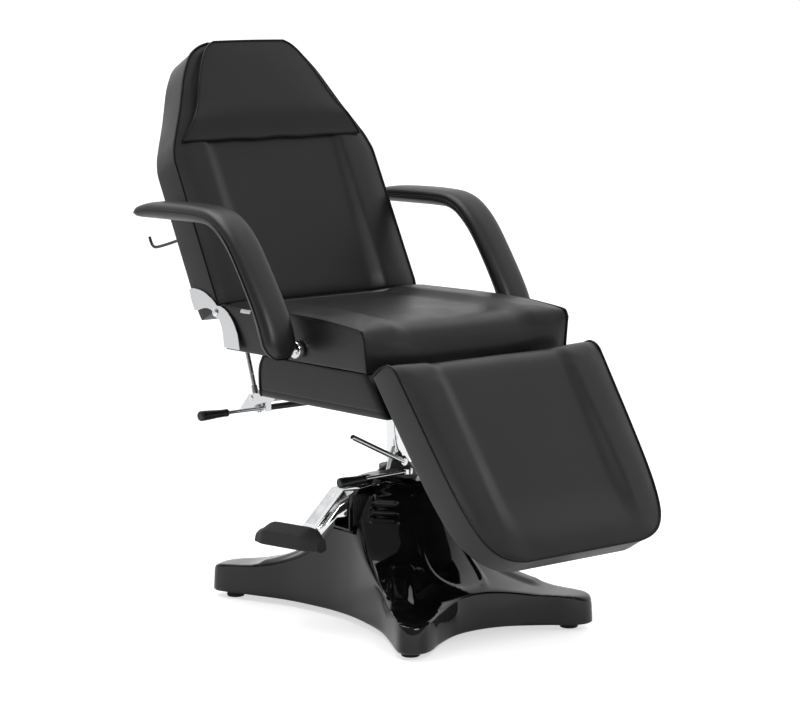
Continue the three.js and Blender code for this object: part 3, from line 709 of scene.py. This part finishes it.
def make_arm(hand, side):
    line = spline([Vector((y, z, half)) for y, z, half in ARM_LINE], 6)
    rings = []
    for i, p in enumerate(line):
        a, b = line[max(i - 1, 0)], line[min(i + 1, len(line) - 1)]
        way = Vector((b.x - a.x, b.y - a.y)).normalized()
        over = Vector((way.y, -way.x))  # towards the crowned face: up, then forward
        if over.y < 0 and i < len(line) / 3:
            over = -over
        if over.x > 0 and i >= len(line) / 3:
            over = -over
        end = min((p.xy - line[0].xy).length / 34, (p.xy - line[-1].xy).length / 40)
        width = ARM_HALF * math.sqrt(1 - 0.88 * clamp(1 - end) ** 2)
        ring = []
        for k in range(ARM_SIDES):
            angle = 2 * math.pi * k / ARM_SIDES
            c, s = math.cos(angle), math.sin(angle)
            x = math.copysign(abs(c) ** 0.62, c) * width
            h = math.copysign(abs(s) ** 0.72, s) * p.z * (1.02 if s > 0 else 0.94)
            ring.append(at(side * (ARM_MIDDLE + x), p.x + over.x * h, p.y + over.y * h))
        rings.append(ring)
    verts = [v for ring in rings for v in ring]
    obj = piece(f"arm_{hand}", verts, ring_faces(len(rings), ARM_SIDES), arm_vinyl, None, sharp=180)
    seam = [i * ARM_SIDES + k for i in range(len(rings)) for k in (0, ARM_SIDES // 2)]
    ends = [*range(ARM_SIDES), *range(len(verts) - ARM_SIDES, len(verts))]
    stuff(obj, seam + ends, 2.0, 3)
    co = [v.co.copy() for v in obj.data.vertices]
    outer = [co[i * ARM_SIDES] for i in range(len(rings))]
    inner = [co[i * ARM_SIDES + ARM_SIDES // 2] for i in range(len(rings) - 1, -1, -1)]
    soften(obj)
    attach(obj, f"arm_{hand}")
    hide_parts(f"arm_pad_{hand}", f"arm_board_{hand}")
    welts(f"arm_piping_{hand}", f"arm_{hand}", [(outer + inner, True)], 2.3)


for hand, side in HANDS:
    make_arm(hand, side)

# ---------------- apron
APRON_TOP, APRON_BOTTOM = 610.4, 516
APRON_HALF = 290.5
HEM = 0.17  # height of the hem, as a share of the apron's
APRON_SLANT = math.tan(LEG_LEAN)


def apron_path(z):
    """Plan of the skirt at a height: from the front gap round the rear to the front gap."""
    front = -244 - (APRON_TOP - z) * APRON_SLANT
    corner = 17
    rear = 156 - 15 * ease(580, 616, z)
    points = [(-34, front), (-100, front), (-200, front), (-276, front + 1)]
    points += [(-288, front + 5), (-290, front + 16)]
    points += [(-APRON_HALF, mix(front + 16, rear - corner, i / 6)) for i in range(1, 7)]
    for k in range(1, 6):
        a = math.pi / 2 * k / 5
        points.append((-APRON_HALF + corner * (1 - math.cos(a)), rear - corner + corner * math.sin(a)))
    points += [(-180, rear), (-90, rear), (0, rear)]
    return points + [(-x, y) for x, y in reversed(points[:-1])]


APRON_COUNT = len(apron_path(APRON_BOTTOM))


def apron_place(u, v, t):
    z = mix(APRON_BOTTOM, APRON_TOP, v)
    path = apron_path(z)
    k = int(u)
    x, y = path[k]
    a, b = path[max(k - 1, 0)], path[min(k + 1, APRON_COUNT - 1)]
    way = Vector((b[0] - a[0], b[1] - a[1])).normalized()
    thick = 17 * t
    crown = 1.5 * math.sin(math.pi * clamp((v - HEM) / (1 - HEM))) - 1.5
    hem = -1.2 if abs(v - HEM) < 0.012 else 0
    rolled = -4 * (1 - ease(0, 0.05, v))
    out = (crown * 0.5 + hem + rolled) * (1 - t) - thick
    return at(x - way.y * out, y + way.x * out, z)


V_APRON = [0, 0.02, 0.06, 0.12, 0.155, HEM, 0.185, 0.22, 0.35, 0.5, 0.65, 0.8, 0.95, 1]
verts, faces, _ = lattice(list(range(APRON_COUNT)), V_APRON, [0, 0.5, 1], apron_place)
apron = piece("apron", verts, faces, vinyl, "seat", sharp=180)
soften(apron)
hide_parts("apron_right", "apron_left", "apron_rear", "apron_front_right", "apron_front_left")
corner_seams = []
for side in (-1, 1):
    edge = [(517, 137, 3), (524, 137, 1), (540, 138, 0), (570, 138, 0), (594, 134, 0.5), (606, 125, 1.5)]
    corner_seams.append(([at(side * (290.6 - b), y, z) for z, y, b in edge], False))
welts("apron_seams", "seat", corner_seams, 2.0)


# ---------------- base cover
COVER_QUARTER = [
    (157, 0), (163, 80), (186, 190), (226, 285), (257, 350), (264, 378), (250, 400), (222, 406),
    (190, 392), (150, 362), (84, 324), (30, 309),
]
COVER_RIDGE = [
    (15, 520), (40, 500), (62, 480), (69, 474), (74, 466), (77.5, 455), (80, 440), (82, 410), (84, 380),
    (89, 350), (95, 320), (104, 290), (115, 260), (129, 232), (145, 210), (159, 195), (175, 182),
    (190, 173), (205, 166), (227, 155), (250, 144), (270, 133.5), (288, 124), (299, 115), (308, 106),
    (314, 96), (318, 84), (320.5, 72), (322, 60),
]
FAN = 384
FOOT_HEIGHT = 15
COVER_WALL = 4.5


def soft_min(a, b, blend):
    h = max(0.0, 1 - abs(a - b) / blend)
    return min(a, b) - h * h * blend / 4


def cover_fan():
    upper = COVER_QUARTER + [(-x, y) for x, y in reversed(COVER_QUARTER)]
    lower = [(-x, -y) for x, y in upper if y > 0]
    outline = spline([Vector((x, y, 0)) for x, y in upper + lower], 24, True)
    angles = np.unwrap(np.array([math.atan2(p.y, p.x) for p in outline]))
    reach = np.array([math.hypot(p.x, p.y) for p in outline])
    order = np.argsort(angles)
    wanted = angles.min() + 2 * math.pi * np.arange(FAN) / FAN
    return wanted, np.interp(wanted, angles[order], reach[order], period=2 * math.pi)


# Steps moulded in the tower beside the pump window: height, half height and depth.
STEPS = [(320, 5, 5), (289, 8, 7), (262, 5, 6), (244, 6, 7)]


def moulding(angle, z):
    beside = abs(math.degrees(math.atan2(math.sin(angle), math.cos(angle))) + 138)
    amount = 1 - ease(9, 17, beside)
    proud = [depth * (1 - ease(half * 0.5, half * 1.6, abs(z - height))) for height, half, depth in STEPS]
    return amount * sum(proud)


def relief(x, y):
    """Height of what is moulded on top of the cover: a mound along each arm, and an arch at each end."""
    ax, ay = abs(x), abs(y)
    along = (ax * 264 + ay * 378) / 461
    aside = (ax * 378 - ay * 264) / 461
    mound = ease(0, 26, 78 - abs(along - 272)) * ease(0, 22, 34 - abs(aside))
    arch = math.hypot(x / 62, (ay - 205) / 88)
    rim = 1 - ease(0.0, 0.16, abs(arch - 1))
    return 7 * mound + 5 * rim * (1 - mound)


def make_cover():
    angles, reach = cover_fan()
    rings = []

    def ring(z, ridge, inset, detailed=False):
        rows = []
        for angle, far in zip(angles, reach):
            side = far - inset - 0.05 * (z - FOOT_HEIGHT)
            r = soft_min(side, ridge - inset, 18)
            lift = 0.0
            if detailed:
                r += moulding(angle, z)
                lift = relief(r * math.cos(angle), r * math.sin(angle)) * ease(6, 34, side - r)
            rows.append(on_base(r * math.cos(angle), r * math.sin(angle), z + lift))
        rings.append(rows)

    def round_ring(radius, z):
        rings.append([on_base(radius * math.cos(a), radius * math.sin(a), z) for a in angles])

    heights = [17.5, 24, 34, 44, 54, 60]
    heights += [60 + 1.25 * i for i in range(1, 33)]
    heights += [100 + 3 * i for i in range(1, 20)]
    heights += [157 + 4 * i for i in range(19)]
    heights += [230 + 2.5 * i for i in range(37)]
    ring(15, 520, 3)
    ring(17, 518, 0.8)
    for z in heights:
        ring(z, lookup(COVER_RIDGE, z), 0, detailed=True)
    round_ring(46, 322)
    round_ring(44, 321.4)
    round_ring(44, 316)
    for z in reversed(heights[:-2:4]):
        ring(max(z - 4, FOOT_HEIGHT + 0.4), lookup(COVER_RIDGE, z), COVER_WALL)
    verts = [p for row in rings for p in row]
    cover = piece("base_cover_shell", verts, ring_faces(len(rings), FAN, True), gloss, None, sharp=180)
    cutter = piece("window", *box_of((-230, -46, 205), (-52, 46, 340), on_base), gloss, None)
    cut = cover.modifiers.new("window", "BOOLEAN")
    cut.object = cutter
    cut.operation = "DIFFERENCE"
    cut.solver = "EXACT"
    done = cover.evaluated_get(bpy.context.evaluated_depsgraph_get())
    mesh = bpy.data.meshes.new_from_object(done)
    cover.modifiers.remove(cut)
    cover.data = mesh
    bpy.data.objects.remove(cutter)
    mesh.shade_smooth()
    mesh.set_sharp_from_angle(angle=math.radians(48))
    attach(cover, "base")
    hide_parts("base_cover")


make_cover()

FOOT_X, FOOT_Y = 221, 353
FOOT_PROFILE = [
    (0, 0), (18, 0), (19.5, 0.8), (21, 3), (21, 7), (19.6, 8), (19.6, 9.5), (20.6, 10.5), (20.2, 14.8),
    (0, 14.8),
]
for end, ey in (("front", -1), ("rear", 1)):
    for hand, side in HANDS:
        where = on_base(side * FOOT_X, ey * FOOT_Y, 0)
        foot = piece(f"foot_pad_{end}_{hand}", *lathe(FOOT_PROFILE, where, UP), foot_rubber, "base")
        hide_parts(f"foot_{end}_{hand}")


def metal(name, parts, material, body, nodes=(), sharp=38, bevel=0.0):
    """One hard piece made of several solids. nodes are the CAD nodes that it replaces."""
    obj = piece(name, *merged(*parts), material, body, sharp=sharp, bevel=bevel)
    if nodes:
        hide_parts(*nodes)


def rod(a, b, radius, sides=24, ends=0.8):
    """A straight round rod with eased ends, between two points in metres."""
    a, b = Vector(a), Vector(b)
    length = (b - a).length / MM
    ends = min(ends, radius * 0.6)
    profile = [(0, 0), (radius - ends, 0), (radius, ends)]
    profile += [(radius, length - ends), (radius - ends, length), (0, length)]
    return lathe(profile, a, b - a, sides)


def grip_on(name, start, end, body, node):
    """A moulded handle: slim neck, ringed shoulder, swelling to a round end."""
    start, end = Vector(start), Vector(end)
    length = (end - start).length / MM
    rows = [(0, 0), (8.2, 0), (9.2, 1), (9.2, 6), (8.4, 7), (8.8, 9)]
    rows += [(mix(9, 12, ease(0, 1, i / 6)), mix(10, length - 6, i / 6)) for i in range(7)]
    rows += [(11.6, length - 2.5), (10, length - 0.6), (7.6, length), (7.2, length - 0.8), (0, length - 0.8)]
    obj = piece(name, *lathe(rows, start, end - start, 32), handle, body, sharp=50)
    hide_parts(node)


# ---------------- column
COLUMN_PROFILE = [(0, 156), (25.5, 156), (26.6, 158), (26.6, 550), (26.6, 561), (0, 561)]
HUB_PROFILE = [
    (28, 523), (45, 523), (46, 524), (46, 562), (50, 566), (103, 566.4), (105, 568), (105, 579),
    (104, 580.2), (0, 580.2), (0, 562.6), (28, 562.6), (28, 523),
]
metal("column_tube", [lathe(COLUMN_PROFILE, at(0, 0, 0), UP, 72)], chrome, "lift", ["column"])
metal("hub_boss", [lathe(HUB_PROFILE, at(0, 0, 0), UP, 64)], paint, "seat", ["seat_hub"])

# ---------------- pump window, pedal and hand levers
def on_base_flat(x, z, y):
    return on_base(x, y, z)


def slot_hole(cx, cz, half_long, half_short):
    """Outline of a slot, with ten points round each end."""
    points = []
    for start, end in ((0, half_long), (math.pi, -half_long)):
        for k in range(10):
            a = start + math.pi * k / 9
            points.append((cx + half_short * math.cos(a), cz + end + half_short * math.sin(a)))
    return points


PEDAL_X, PEDAL_Z = -66, 289
PUMP_CHEEK = [(-158, 212), (-55, 212), (-55, 306), (-96, 312), (-140, 306), (-158, 292)]
cheeks = [slab(PUMP_CHEEK, y0, y1, on_base_flat) for y0, y1 in ((28, 32), (-32, -28))]
web = box_of((-158, 212, -30), (-154, 217, 30), on_base_flat)
pin = rod(on_base(PEDAL_X, -35, PEDAL_Z), on_base(PEDAL_X, 35, PEDAL_Z), 6)
metal("pump_bracket_plates", [*cheeks, web], gloss, "base", ["pump_bracket"], bevel=1.2)
metal("pump_pin", [pin], chrome, "base")
ribs = [box_of((-146 + 5 * i, 228, -35.4), (-143 + 5 * i, 291, -32), on_base_flat) for i in range(9)]
ribs.append(box_of((-149, 224, -33.4), (-101, 295, -32), on_base_flat))
metal("pump_grille", ribs, paint, "base", bevel=0.5)

# Side views of the pedal's channel: its two flanges, its top plate and the tongue under the foot bar.
PEDAL_HALF = 25
PEDAL_FLANGE = [
    (-54, 303), (-54, 279), (-112, 264), (-152, 246), (-188, 246), (-250, 196), (-262, 213), (-168, 308),
]
PEDAL_TOP = [(-54, 303), (-168, 308), (-262, 213), (-262, 209), (-166, 304), (-54, 299)]
PEDAL_TONGUE = [(-262, 213), (-312, 211.5), (-312, 207.5), (-262, 209)]
channel = [
    slab(PEDAL_TOP, -PEDAL_HALF, PEDAL_HALF, on_base_flat),
    slab(PEDAL_TONGUE, -18.6, 18.6, on_base_flat),
    slab(PEDAL_FLANGE, PEDAL_HALF - 3, PEDAL_HALF, on_base_flat),
    slab(PEDAL_FLANGE, -PEDAL_HALF, 3 - PEDAL_HALF, on_base_flat),
]
metal("pedal_channel", channel, chrome, "pedal", ["pedal_lever"], bevel=1.0)
# A thin black sheet in a slot's outline on the flange's outer face: painted shade standing in for a slot
# hole through the flange.
slot = slab(slot_hole(-150, 271, 8, 3.4), -PEDAL_HALF - 0.3, 0.4 - PEDAL_HALF, on_base_flat)
metal("pedal_slot_painted_shade", [slot], paint, "pedal")


PEDAL_TURN = math.radians(14.6)


def pedal_point(along, across_, z):
    """A point on the foot bar: along its length, across it, and up."""
    c, s = math.cos(PEDAL_TURN), math.sin(PEDAL_TURN)
    return on_base(-298 + across_ * c - along * s, across_ * s + along * c, z)


def pedal_place(u, v, t):
    along = 95 * u
    width = 31 * (1 - 0.50 * ease(58, 97, abs(along)))
    across_ = mix(-width, width, v)
    ridge = 17 * (1 - abs(2 * v - 1.24) / 1.24) ** 0.8 if v > 0 else 0.0
    fall = 15 * ease(52, 96, abs(along))
    top = 224 + ridge * (1 - 0.4 * ease(60, 95, abs(along))) - fall
    low = 188 + 5 * (2 * v - 1) ** 2
    inset = 2 * (1 - t) * (1 - 2 * v)
    return pedal_point(along * (1 - 0.02 * (1 - t)), across_ + inset, mix(top, low, t))


U_PEDAL = [-1, -0.985, -0.95, -0.9] + [mix(-0.83, 0.83, i / 16) for i in range(17)] + [0.9, 0.95, 0.985, 1]
V_PEDAL = [0, 0.04] + [i / 12 for i in range(1, 12)] + [0.96, 1]
verts, faces, _ = lattice(U_PEDAL, V_PEDAL, [0, 0.1, 0.35, 0.65, 0.9, 1], pedal_place)
pedal_bar = piece("pedal_bar", verts, faces, rubber, "pedal", sharp=180)
soften(pedal_bar)
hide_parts("pedal_pad")

# The lock lever turns on a stud beside the column. Its rod droops slightly towards the grip.
LOCK_Z = 332.6
LOCK_HUB = [(0, 0), (9, 0), (10, 1), (10, 12), (9, 13), (0, 13)]
lock_parts = [
    lathe(LOCK_HUB, on_base(-14, -60, LOCK_Z), UP),
    rod(on_base(-14, -60, LOCK_Z + 7), on_base(-136, -60, LOCK_Z + 3), 4.5),
]
metal("lock_lever_rod", lock_parts, chrome, "lock_lever", ["lock_lever"])
lock_grip = on_base(-134.3, -60, LOCK_Z + 3), on_base(-206, -60, LOCK_Z)
grip_on("lock_lever_handle", *lock_grip, "lock_lever", "lock_lever_grip")

# The lowering lever rocks on a pin above its plate, and pulls a short link.
LOWERING_Z = 360.6
lowering_parts = [
    rod(on_base(-20, -55, LOWERING_Z), on_base(-20, -41, LOWERING_Z), 9),
    rod(on_base(-20, -41.5, LOWERING_Z), on_base(-20, -32, LOWERING_Z), 4),
    rod(on_base(-20, -50, LOWERING_Z), on_base(-162, -50, 432), 6.2, 32, 1.2),
]
metal("lowering_lever_rod", lowering_parts, chrome, "lowering_lever", ["lowering_lever"])
tip = rod(on_base(-161.2, -50, 431.5), on_base(-163.6, -50, 433), 5.2)
metal("lowering_lever_tip", [tip], paint, "lowering_lever")
link = slab([(-53, 398), (-44, 400), (-61, 349), (-69, 347)], -53, -48, on_base_flat)
metal("lowering_link", [link], plate_chrome, "lowering_lever", bevel=0.8)

# ---------------- recline hinges
# Side views: y, z.
RECLINE_AXIS = (285, 695)
ARM_AXIS = (-20, 641)
SEAT_STRAP = [
    (194, 617), (197, 632), (201, 648), (211, 669), (225, 687), (243, 701), (260, 709), (275, 711),
    (288, 706), (294, 697), (285, 684), (272, 679), (262, 660), (257, 638), (254, 617),
]
BACK_STRAP = [
    (276, 700), (284, 709), (300, 721), (328, 735), (347, 740), (364, 742), (380, 742), (394, 739),
    (386, 715), (372, 690), (356, 694), (340, 699), (324, 701), (307, 698), (294, 689), (284, 685),
    (277, 690),
]
# Turned profiles, from the inner end outwards.
HINGE_PIN = [
    (0, 293), (9, 293), (9, 297), (6, 297), (6, 305.4), (9, 305.4), (9.5, 306), (9.2, 307.6),
    (7, 309), (3, 309.6), (0, 309.7),
]
ARM_BOSS = [
    (0, 273), (6, 273), (6, 299.6), (17, 299.6), (19, 300.4), (19.5, 302), (19.5, 312.5), (18.5, 314.2),
    (6, 314.6), (6, 324.6), (11, 324.6), (12, 325.6), (12, 331), (0, 332),
]


def smooth_outline(points, corners):
    """A smooth outline with straight runs between the corners named by number."""
    out = []
    n = len(points)
    for i in range(n):
        a, b = Vector((*points[i], 0)), Vector((*points[(i + 1) % n], 0))
        if i in corners and (i + 1) % n in corners:
            out.append((a.x, a.y))
            continue
        before = a * 2 - b if i in corners else Vector((*points[i - 1], 0))
        after = b * 2 - a if (i + 1) % n in corners else Vector((*points[(i + 2) % n], 0))
        for k in range(4):
            p = curve_point(before, a, b, after, k / 4)
            out.append((p.x, p.y))
    return out


for hand, side in HANDS:

    def on_side(y, z, x, side=side):
        return at(side * x, y, z)

    seat_strap = slab(smooth_outline(SEAT_STRAP, {0, 14}), 301.6, 305.1, on_side)
    back_strap = slab(smooth_outline(BACK_STRAP, {7, 9}), 297.6, 301.2, on_side)
    hinge_pin = lathe(HINGE_PIN, at(0, *RECLINE_AXIS), (side, 0, 0), 32)
    arm_boss = lathe(ARM_BOSS, at(0, *ARM_AXIS), (side, 0, 0), 48)
    seat_node, back_node = f"seat_hinge_{hand}", f"back_hinge_{hand}"
    metal(f"seat_strap_{hand}", [seat_strap], plate_chrome, "seat", [seat_node], bevel=0.7)
    metal(f"back_strap_{hand}", [back_strap], plate_chrome, "backrest", [back_node], bevel=0.7)
    metal(f"hinge_pin_{hand}", [hinge_pin], chrome, "seat", [f"recline_pin_{hand}"])
    metal(f"arm_boss_{hand}", [arm_boss], chrome, "seat", [f"arm_pivot_{hand}"])

# ---------------- recline strut, clutch and lever
def on_plane(y, z, x):
    return at(x, y, z)


STRUT_X = -150
STRUT_FOOT, STRUT_HEAD = (338, 475), (410, 690)
RELEASE_Y, RELEASE_Z = 300, 456
RECLINE_CHEEK = [
    (205, 572), (205, 576), (234, 576), (268, 497), (325, 488), (348, 484), (383, 446), (372, 440),
    (320, 462), (290, 470), (250, 478), (217, 560),
]
BOLT_HEAD = [(0, -18.5), (6.5, -18.5), (7.5, -17.5), (7.5, -16.1), (0, -16.1)]
strut_way = Vector((0, STRUT_HEAD[0] - STRUT_FOOT[0], STRUT_HEAD[1] - STRUT_FOOT[1]))
strut_length = strut_way.length
strut_way.normalize()


def on_strut(d):
    return at(STRUT_X, STRUT_FOOT[0] + strut_way.y * d, STRUT_FOOT[1] + strut_way.z * d)


def on_release(x, y=RELEASE_Y):
    return at(x, y, RELEASE_Z)


parts = [slab(RECLINE_CHEEK, x0, x1, on_plane) for x0, x1 in ((-166, -163), (-137, -134))]
parts.append(box_of((205, 575.1, -172), (250, 580.1, -128), on_plane))
parts.append(box_of((288, 471, -164), (312, 474, -136), on_plane))
for y in (RELEASE_Y - 7, RELEASE_Y + 7):
    parts.append(box_of((y - 1.5, 448, -158), (y + 1.5, 472, -142), on_plane))
metal("recline_bracket_plates", parts, plate_chrome, "seat", ["recline_bracket"], bevel=0.8)
pin_ends = [rod(on_release(STRUT_X, y), on_release(STRUT_X, y + 2.6), 3, ends=0.5) for y in (291.8, 305.6)]
metal("release_pin", pin_ends, chrome, "seat")
bolt_head = lathe(BOLT_HEAD, at(STRUT_X, *STRUT_FOOT), (1, 0, 0), 6)
metal("clutch_bolts", [bolt_head], chrome, "seat")
lever = [
    rod(on_release(STRUT_X, RELEASE_Y - 5), on_release(STRUT_X, RELEASE_Y + 5), 9),
    rod(on_release(-266), on_release(-156), 4.5),
    rod(on_release(-144), on_release(-130), 4.5),
]
metal("release_rod", lever, chrome, "recline_lever", ["recline_lever"])
metal("release_tube", [rod(on_release(-141.4), on_release(-25), 7.3)], paint, "recline_lever")
grip_on("release_handle", on_release(-263.3), on_release(-343), "recline_lever", "recline_lever_grip")

coil = [(10.8 if i % 2 else 9.4, 2 * i - 28) for i in range(19)]
sleeve = [(11, 9), (10.4, 10), (8, 11), (7.6, 29), (7, 30), (0, 30)]
clutch_profile = [(0, -32), (10, -32), (11, -31), (11, -29), *coil, *sleeve]
clutch = [
    lathe(clutch_profile, on_strut(0), strut_way, 32),
    rod(at(STRUT_X - 12.5, *STRUT_FOOT), at(STRUT_X + 12.5, *STRUT_FOOT), 5),
]
metal("clutch_spring", clutch, steel, "recline_clutch", ["recline_clutch"])
strut = [
    rod(on_strut(-36), on_strut(strut_length - 4), 6, 32),
    rod(at(STRUT_X - 6, *STRUT_HEAD), at(STRUT_X + 6, *STRUT_HEAD), 8),
]
metal("strut_rod", strut, chrome, "recline_rod", ["recline_rod"])

# ---------------- back frame and roll hooks
RAIL_X = 250


def frame_bar(x0, x1, s0, s1):
    low, high = BACK_DEPTH + 5.3, BACK_DEPTH + 25.3

    def place(x, s, d):
        return on_back(x, d, s)

    return box_of((x0, s0, low), (x1, s1, high), place)


bars = [frame_bar(side * RAIL_X - 11, side * RAIL_X + 11, 14, 330) for _, side in HANDS]
bars += [frame_bar(-239.2, 239.2, s - 11, s + 11) for s in (100, 318)]
metal("back_rails", bars, paint, "backrest", ["back_frame"], bevel=1.6)
# A hook's wire: depth behind the backrest's front face, and height along it.
HOOK_BEND = [
    (114.6, 206), (140, 211), (175, 218), (210, 226), (228, 231), (238, 236), (243, 244), (244.5, 254),
    (244.5, 264),
]
for hand, side in HANDS:
    wire = tube(spline([on_back(side * RAIL_X, d, s) for d, s in HOOK_BEND], 5), 3.6 * MM, 14)
    metal(f"hook_wire_{hand}", [wire], paint, "backrest", [f"roll_hook_{hand}"], sharp=60)

# ---------------- small trim
# A blank woven tag caught in the seat's side piping.
tag = [(mix(150, 186, i / 6), 1.2 * math.sin(math.pi * i / 6)) for i in range(7)]
verts = []
for d, z in ((0, 712.5), (5.5, 710.5), (7, 705)):
    verts += [at(-301.5 - d, y, z - sag * 0.4) for y, sag in tag]
upper = len(verts)
verts += [v + Vector((0.0008, 0, -0.0008)) for v in verts]
faces = []
for r in range(2):
    for c in range(6):
        a = r * 7 + c
        faces.append((a, a + 1, a + 8, a + 7))
        faces.append((upper + a, upper + a + 7, upper + a + 8, upper + a + 1))
rim = list(range(7)) + [13, 20] + list(range(19, 13, -1)) + [7]
for i, a in enumerate(rim):
    b = rim[(i + 1) % len(rim)]
    faces.append((a, b, upper + b, upper + a))
tag_piece = piece("side_tag", verts, faces, label_white, "seat", sharp=60)

# ---------------- CAD nodes that stay
KEPT = [
    "base_frame", "hydraulic_cylinder", "pump_body", "lock_collar", "lever_plate", "pump_plunger",
    "seat_frame", "leg_hinge_seat_right", "leg_hinge_seat_left", "leg_hinge_leg_right",
    "leg_hinge_leg_left", "strut_clevis", "leg_strut_clevis", "leg_strut_barrel", "leg_strut_rod",
]
for node in KEPT:
    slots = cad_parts[node].data.materials
    slots.clear()
    slots.append(chrome if node in ("pump_plunger", "leg_strut_rod") else paint)

# ---------------- studio
# Strengths of the white surroundings: the room in front, the backdrop behind, and the floor as the camera
# sees it and as the bed does. Distances here are in metres.
ROOM_LIGHT = 0.26
BACKDROP_LIGHT = 1.0
FLOOR_GLOW = 0.62
FLOOR_BOUNCE = 0.22
FLOOR_REACH = 60
BACKDROP_WAY = (0.68, 0.69, 0.10)
WHITE = (1, 1, 1, 1)

floor_material = shader("studio_floor", (0.86, 0.86, 0.86), 0.55, specular=0.2)
tree = floor_material.node_tree
seen = add_node(tree, "ShaderNodeLightPath").outputs["Is Camera Ray"]
glow = add_node(tree, "ShaderNodeMapRange", Value=seen, To_Min=FLOOR_BOUNCE, To_Max=FLOOR_GLOW)
surface = tree.nodes["Principled BSDF"]
surface.inputs["Emission Color"].default_value = WHITE
tree.links.new(glow.outputs["Result"], surface.inputs["Emission Strength"])
mesh = bpy.data.meshes.new("studio_floor")
corners = [(-FLOOR_REACH, -FLOOR_REACH, 0), (FLOOR_REACH, -FLOOR_REACH, 0)]
corners += [(-x, -y, 0) for x, y, _ in corners]
mesh.from_pydata(corners, [], [(0, 1, 2, 3)])
mesh.materials.append(floor_material)
floor = bpy.data.objects.new("studio_floor", mesh)
scene.collection.objects.link(floor)

# The backdrop, behind the bed, is bright. The room in front of it is dimmer. The camera sees plain white.
world = bpy.data.worlds.new("studio")
scene.world = world
world.use_nodes = True
tree = world.node_tree
way = add_node(tree, "ShaderNodeTexCoord").outputs["Generated"]
towards = add_node(tree, "ShaderNodeVectorMath")
towards.operation = "DOT_PRODUCT"
towards.inputs[1].default_value = BACKDROP_WAY
tree.links.new(way, towards.inputs[0])
fall = add_node(
    tree, "ShaderNodeMapRange", Value=towards.outputs["Value"],
    From_Min=-0.45, From_Max=0.62, To_Min=ROOM_LIGHT, To_Max=BACKDROP_LIGHT,
)
fall.interpolation_type = "SMOOTHSTEP"
sky = add_node(tree, "ShaderNodeBackground", Color=WHITE, Strength=fall.outputs["Result"])
plain = add_node(tree, "ShaderNodeBackground", Color=WHITE, Strength=1.0)
choose = tree.nodes.new("ShaderNodeMixShader")
seen = add_node(tree, "ShaderNodeLightPath").outputs["Is Camera Ray"]
for socket, source in zip(choose.inputs, (seen, sky.outputs[0], plain.outputs[0])):
    tree.links.new(source, socket)
tree.links.new(choose.outputs[0], tree.nodes["World Output"].inputs["Surface"])


def aimed(name, data, where, way):
    """A light or a camera in its place, looking that way."""
    obj = bpy.data.objects.new(name, data)
    obj.location = where
    obj.rotation_mode = "QUATERNION"
    obj.rotation_quaternion = Vector(way).to_track_quat("-Z", "Y")
    scene.collection.objects.link(obj)
    return obj


def softbox(name, where, target, width, height, power):
    light = bpy.data.lights.new(name, "AREA")
    light.shape = "RECTANGLE"
    light.size, light.size_y = width, height
    light.energy = power
    aimed(name, light, where, Vector(target) - Vector(where))


softbox("overhead", (-0.6, 0.9, 3.4), (0, 0.2, 0.5), 2.6, 2.0, 45)
softbox("front_left", (-0.9, -4.0, 3.3), (0, 0, 0.7), 1.6, 1.2, 66)

# ---------------- camera
CAMERA_PLACE = (-3.894, -4.649 + COLUMN_Y, 1.460)
CAMERA_WAY = (0.6364, 0.7584, -0.1406)
CAMERA_ROLL = math.radians(-0.12)
camera = bpy.data.cameras.new("camera")
camera.sensor_width = 36
camera.lens = 120.5
scene.camera = aimed("camera", camera, CAMERA_PLACE, CAMERA_WAY)
roll = Matrix.Rotation(CAMERA_ROLL, 3, "Z").to_quaternion()
scene.camera.rotation_quaternion = scene.camera.rotation_quaternion @ roll
scene.view_settings.view_transform = "Standard"
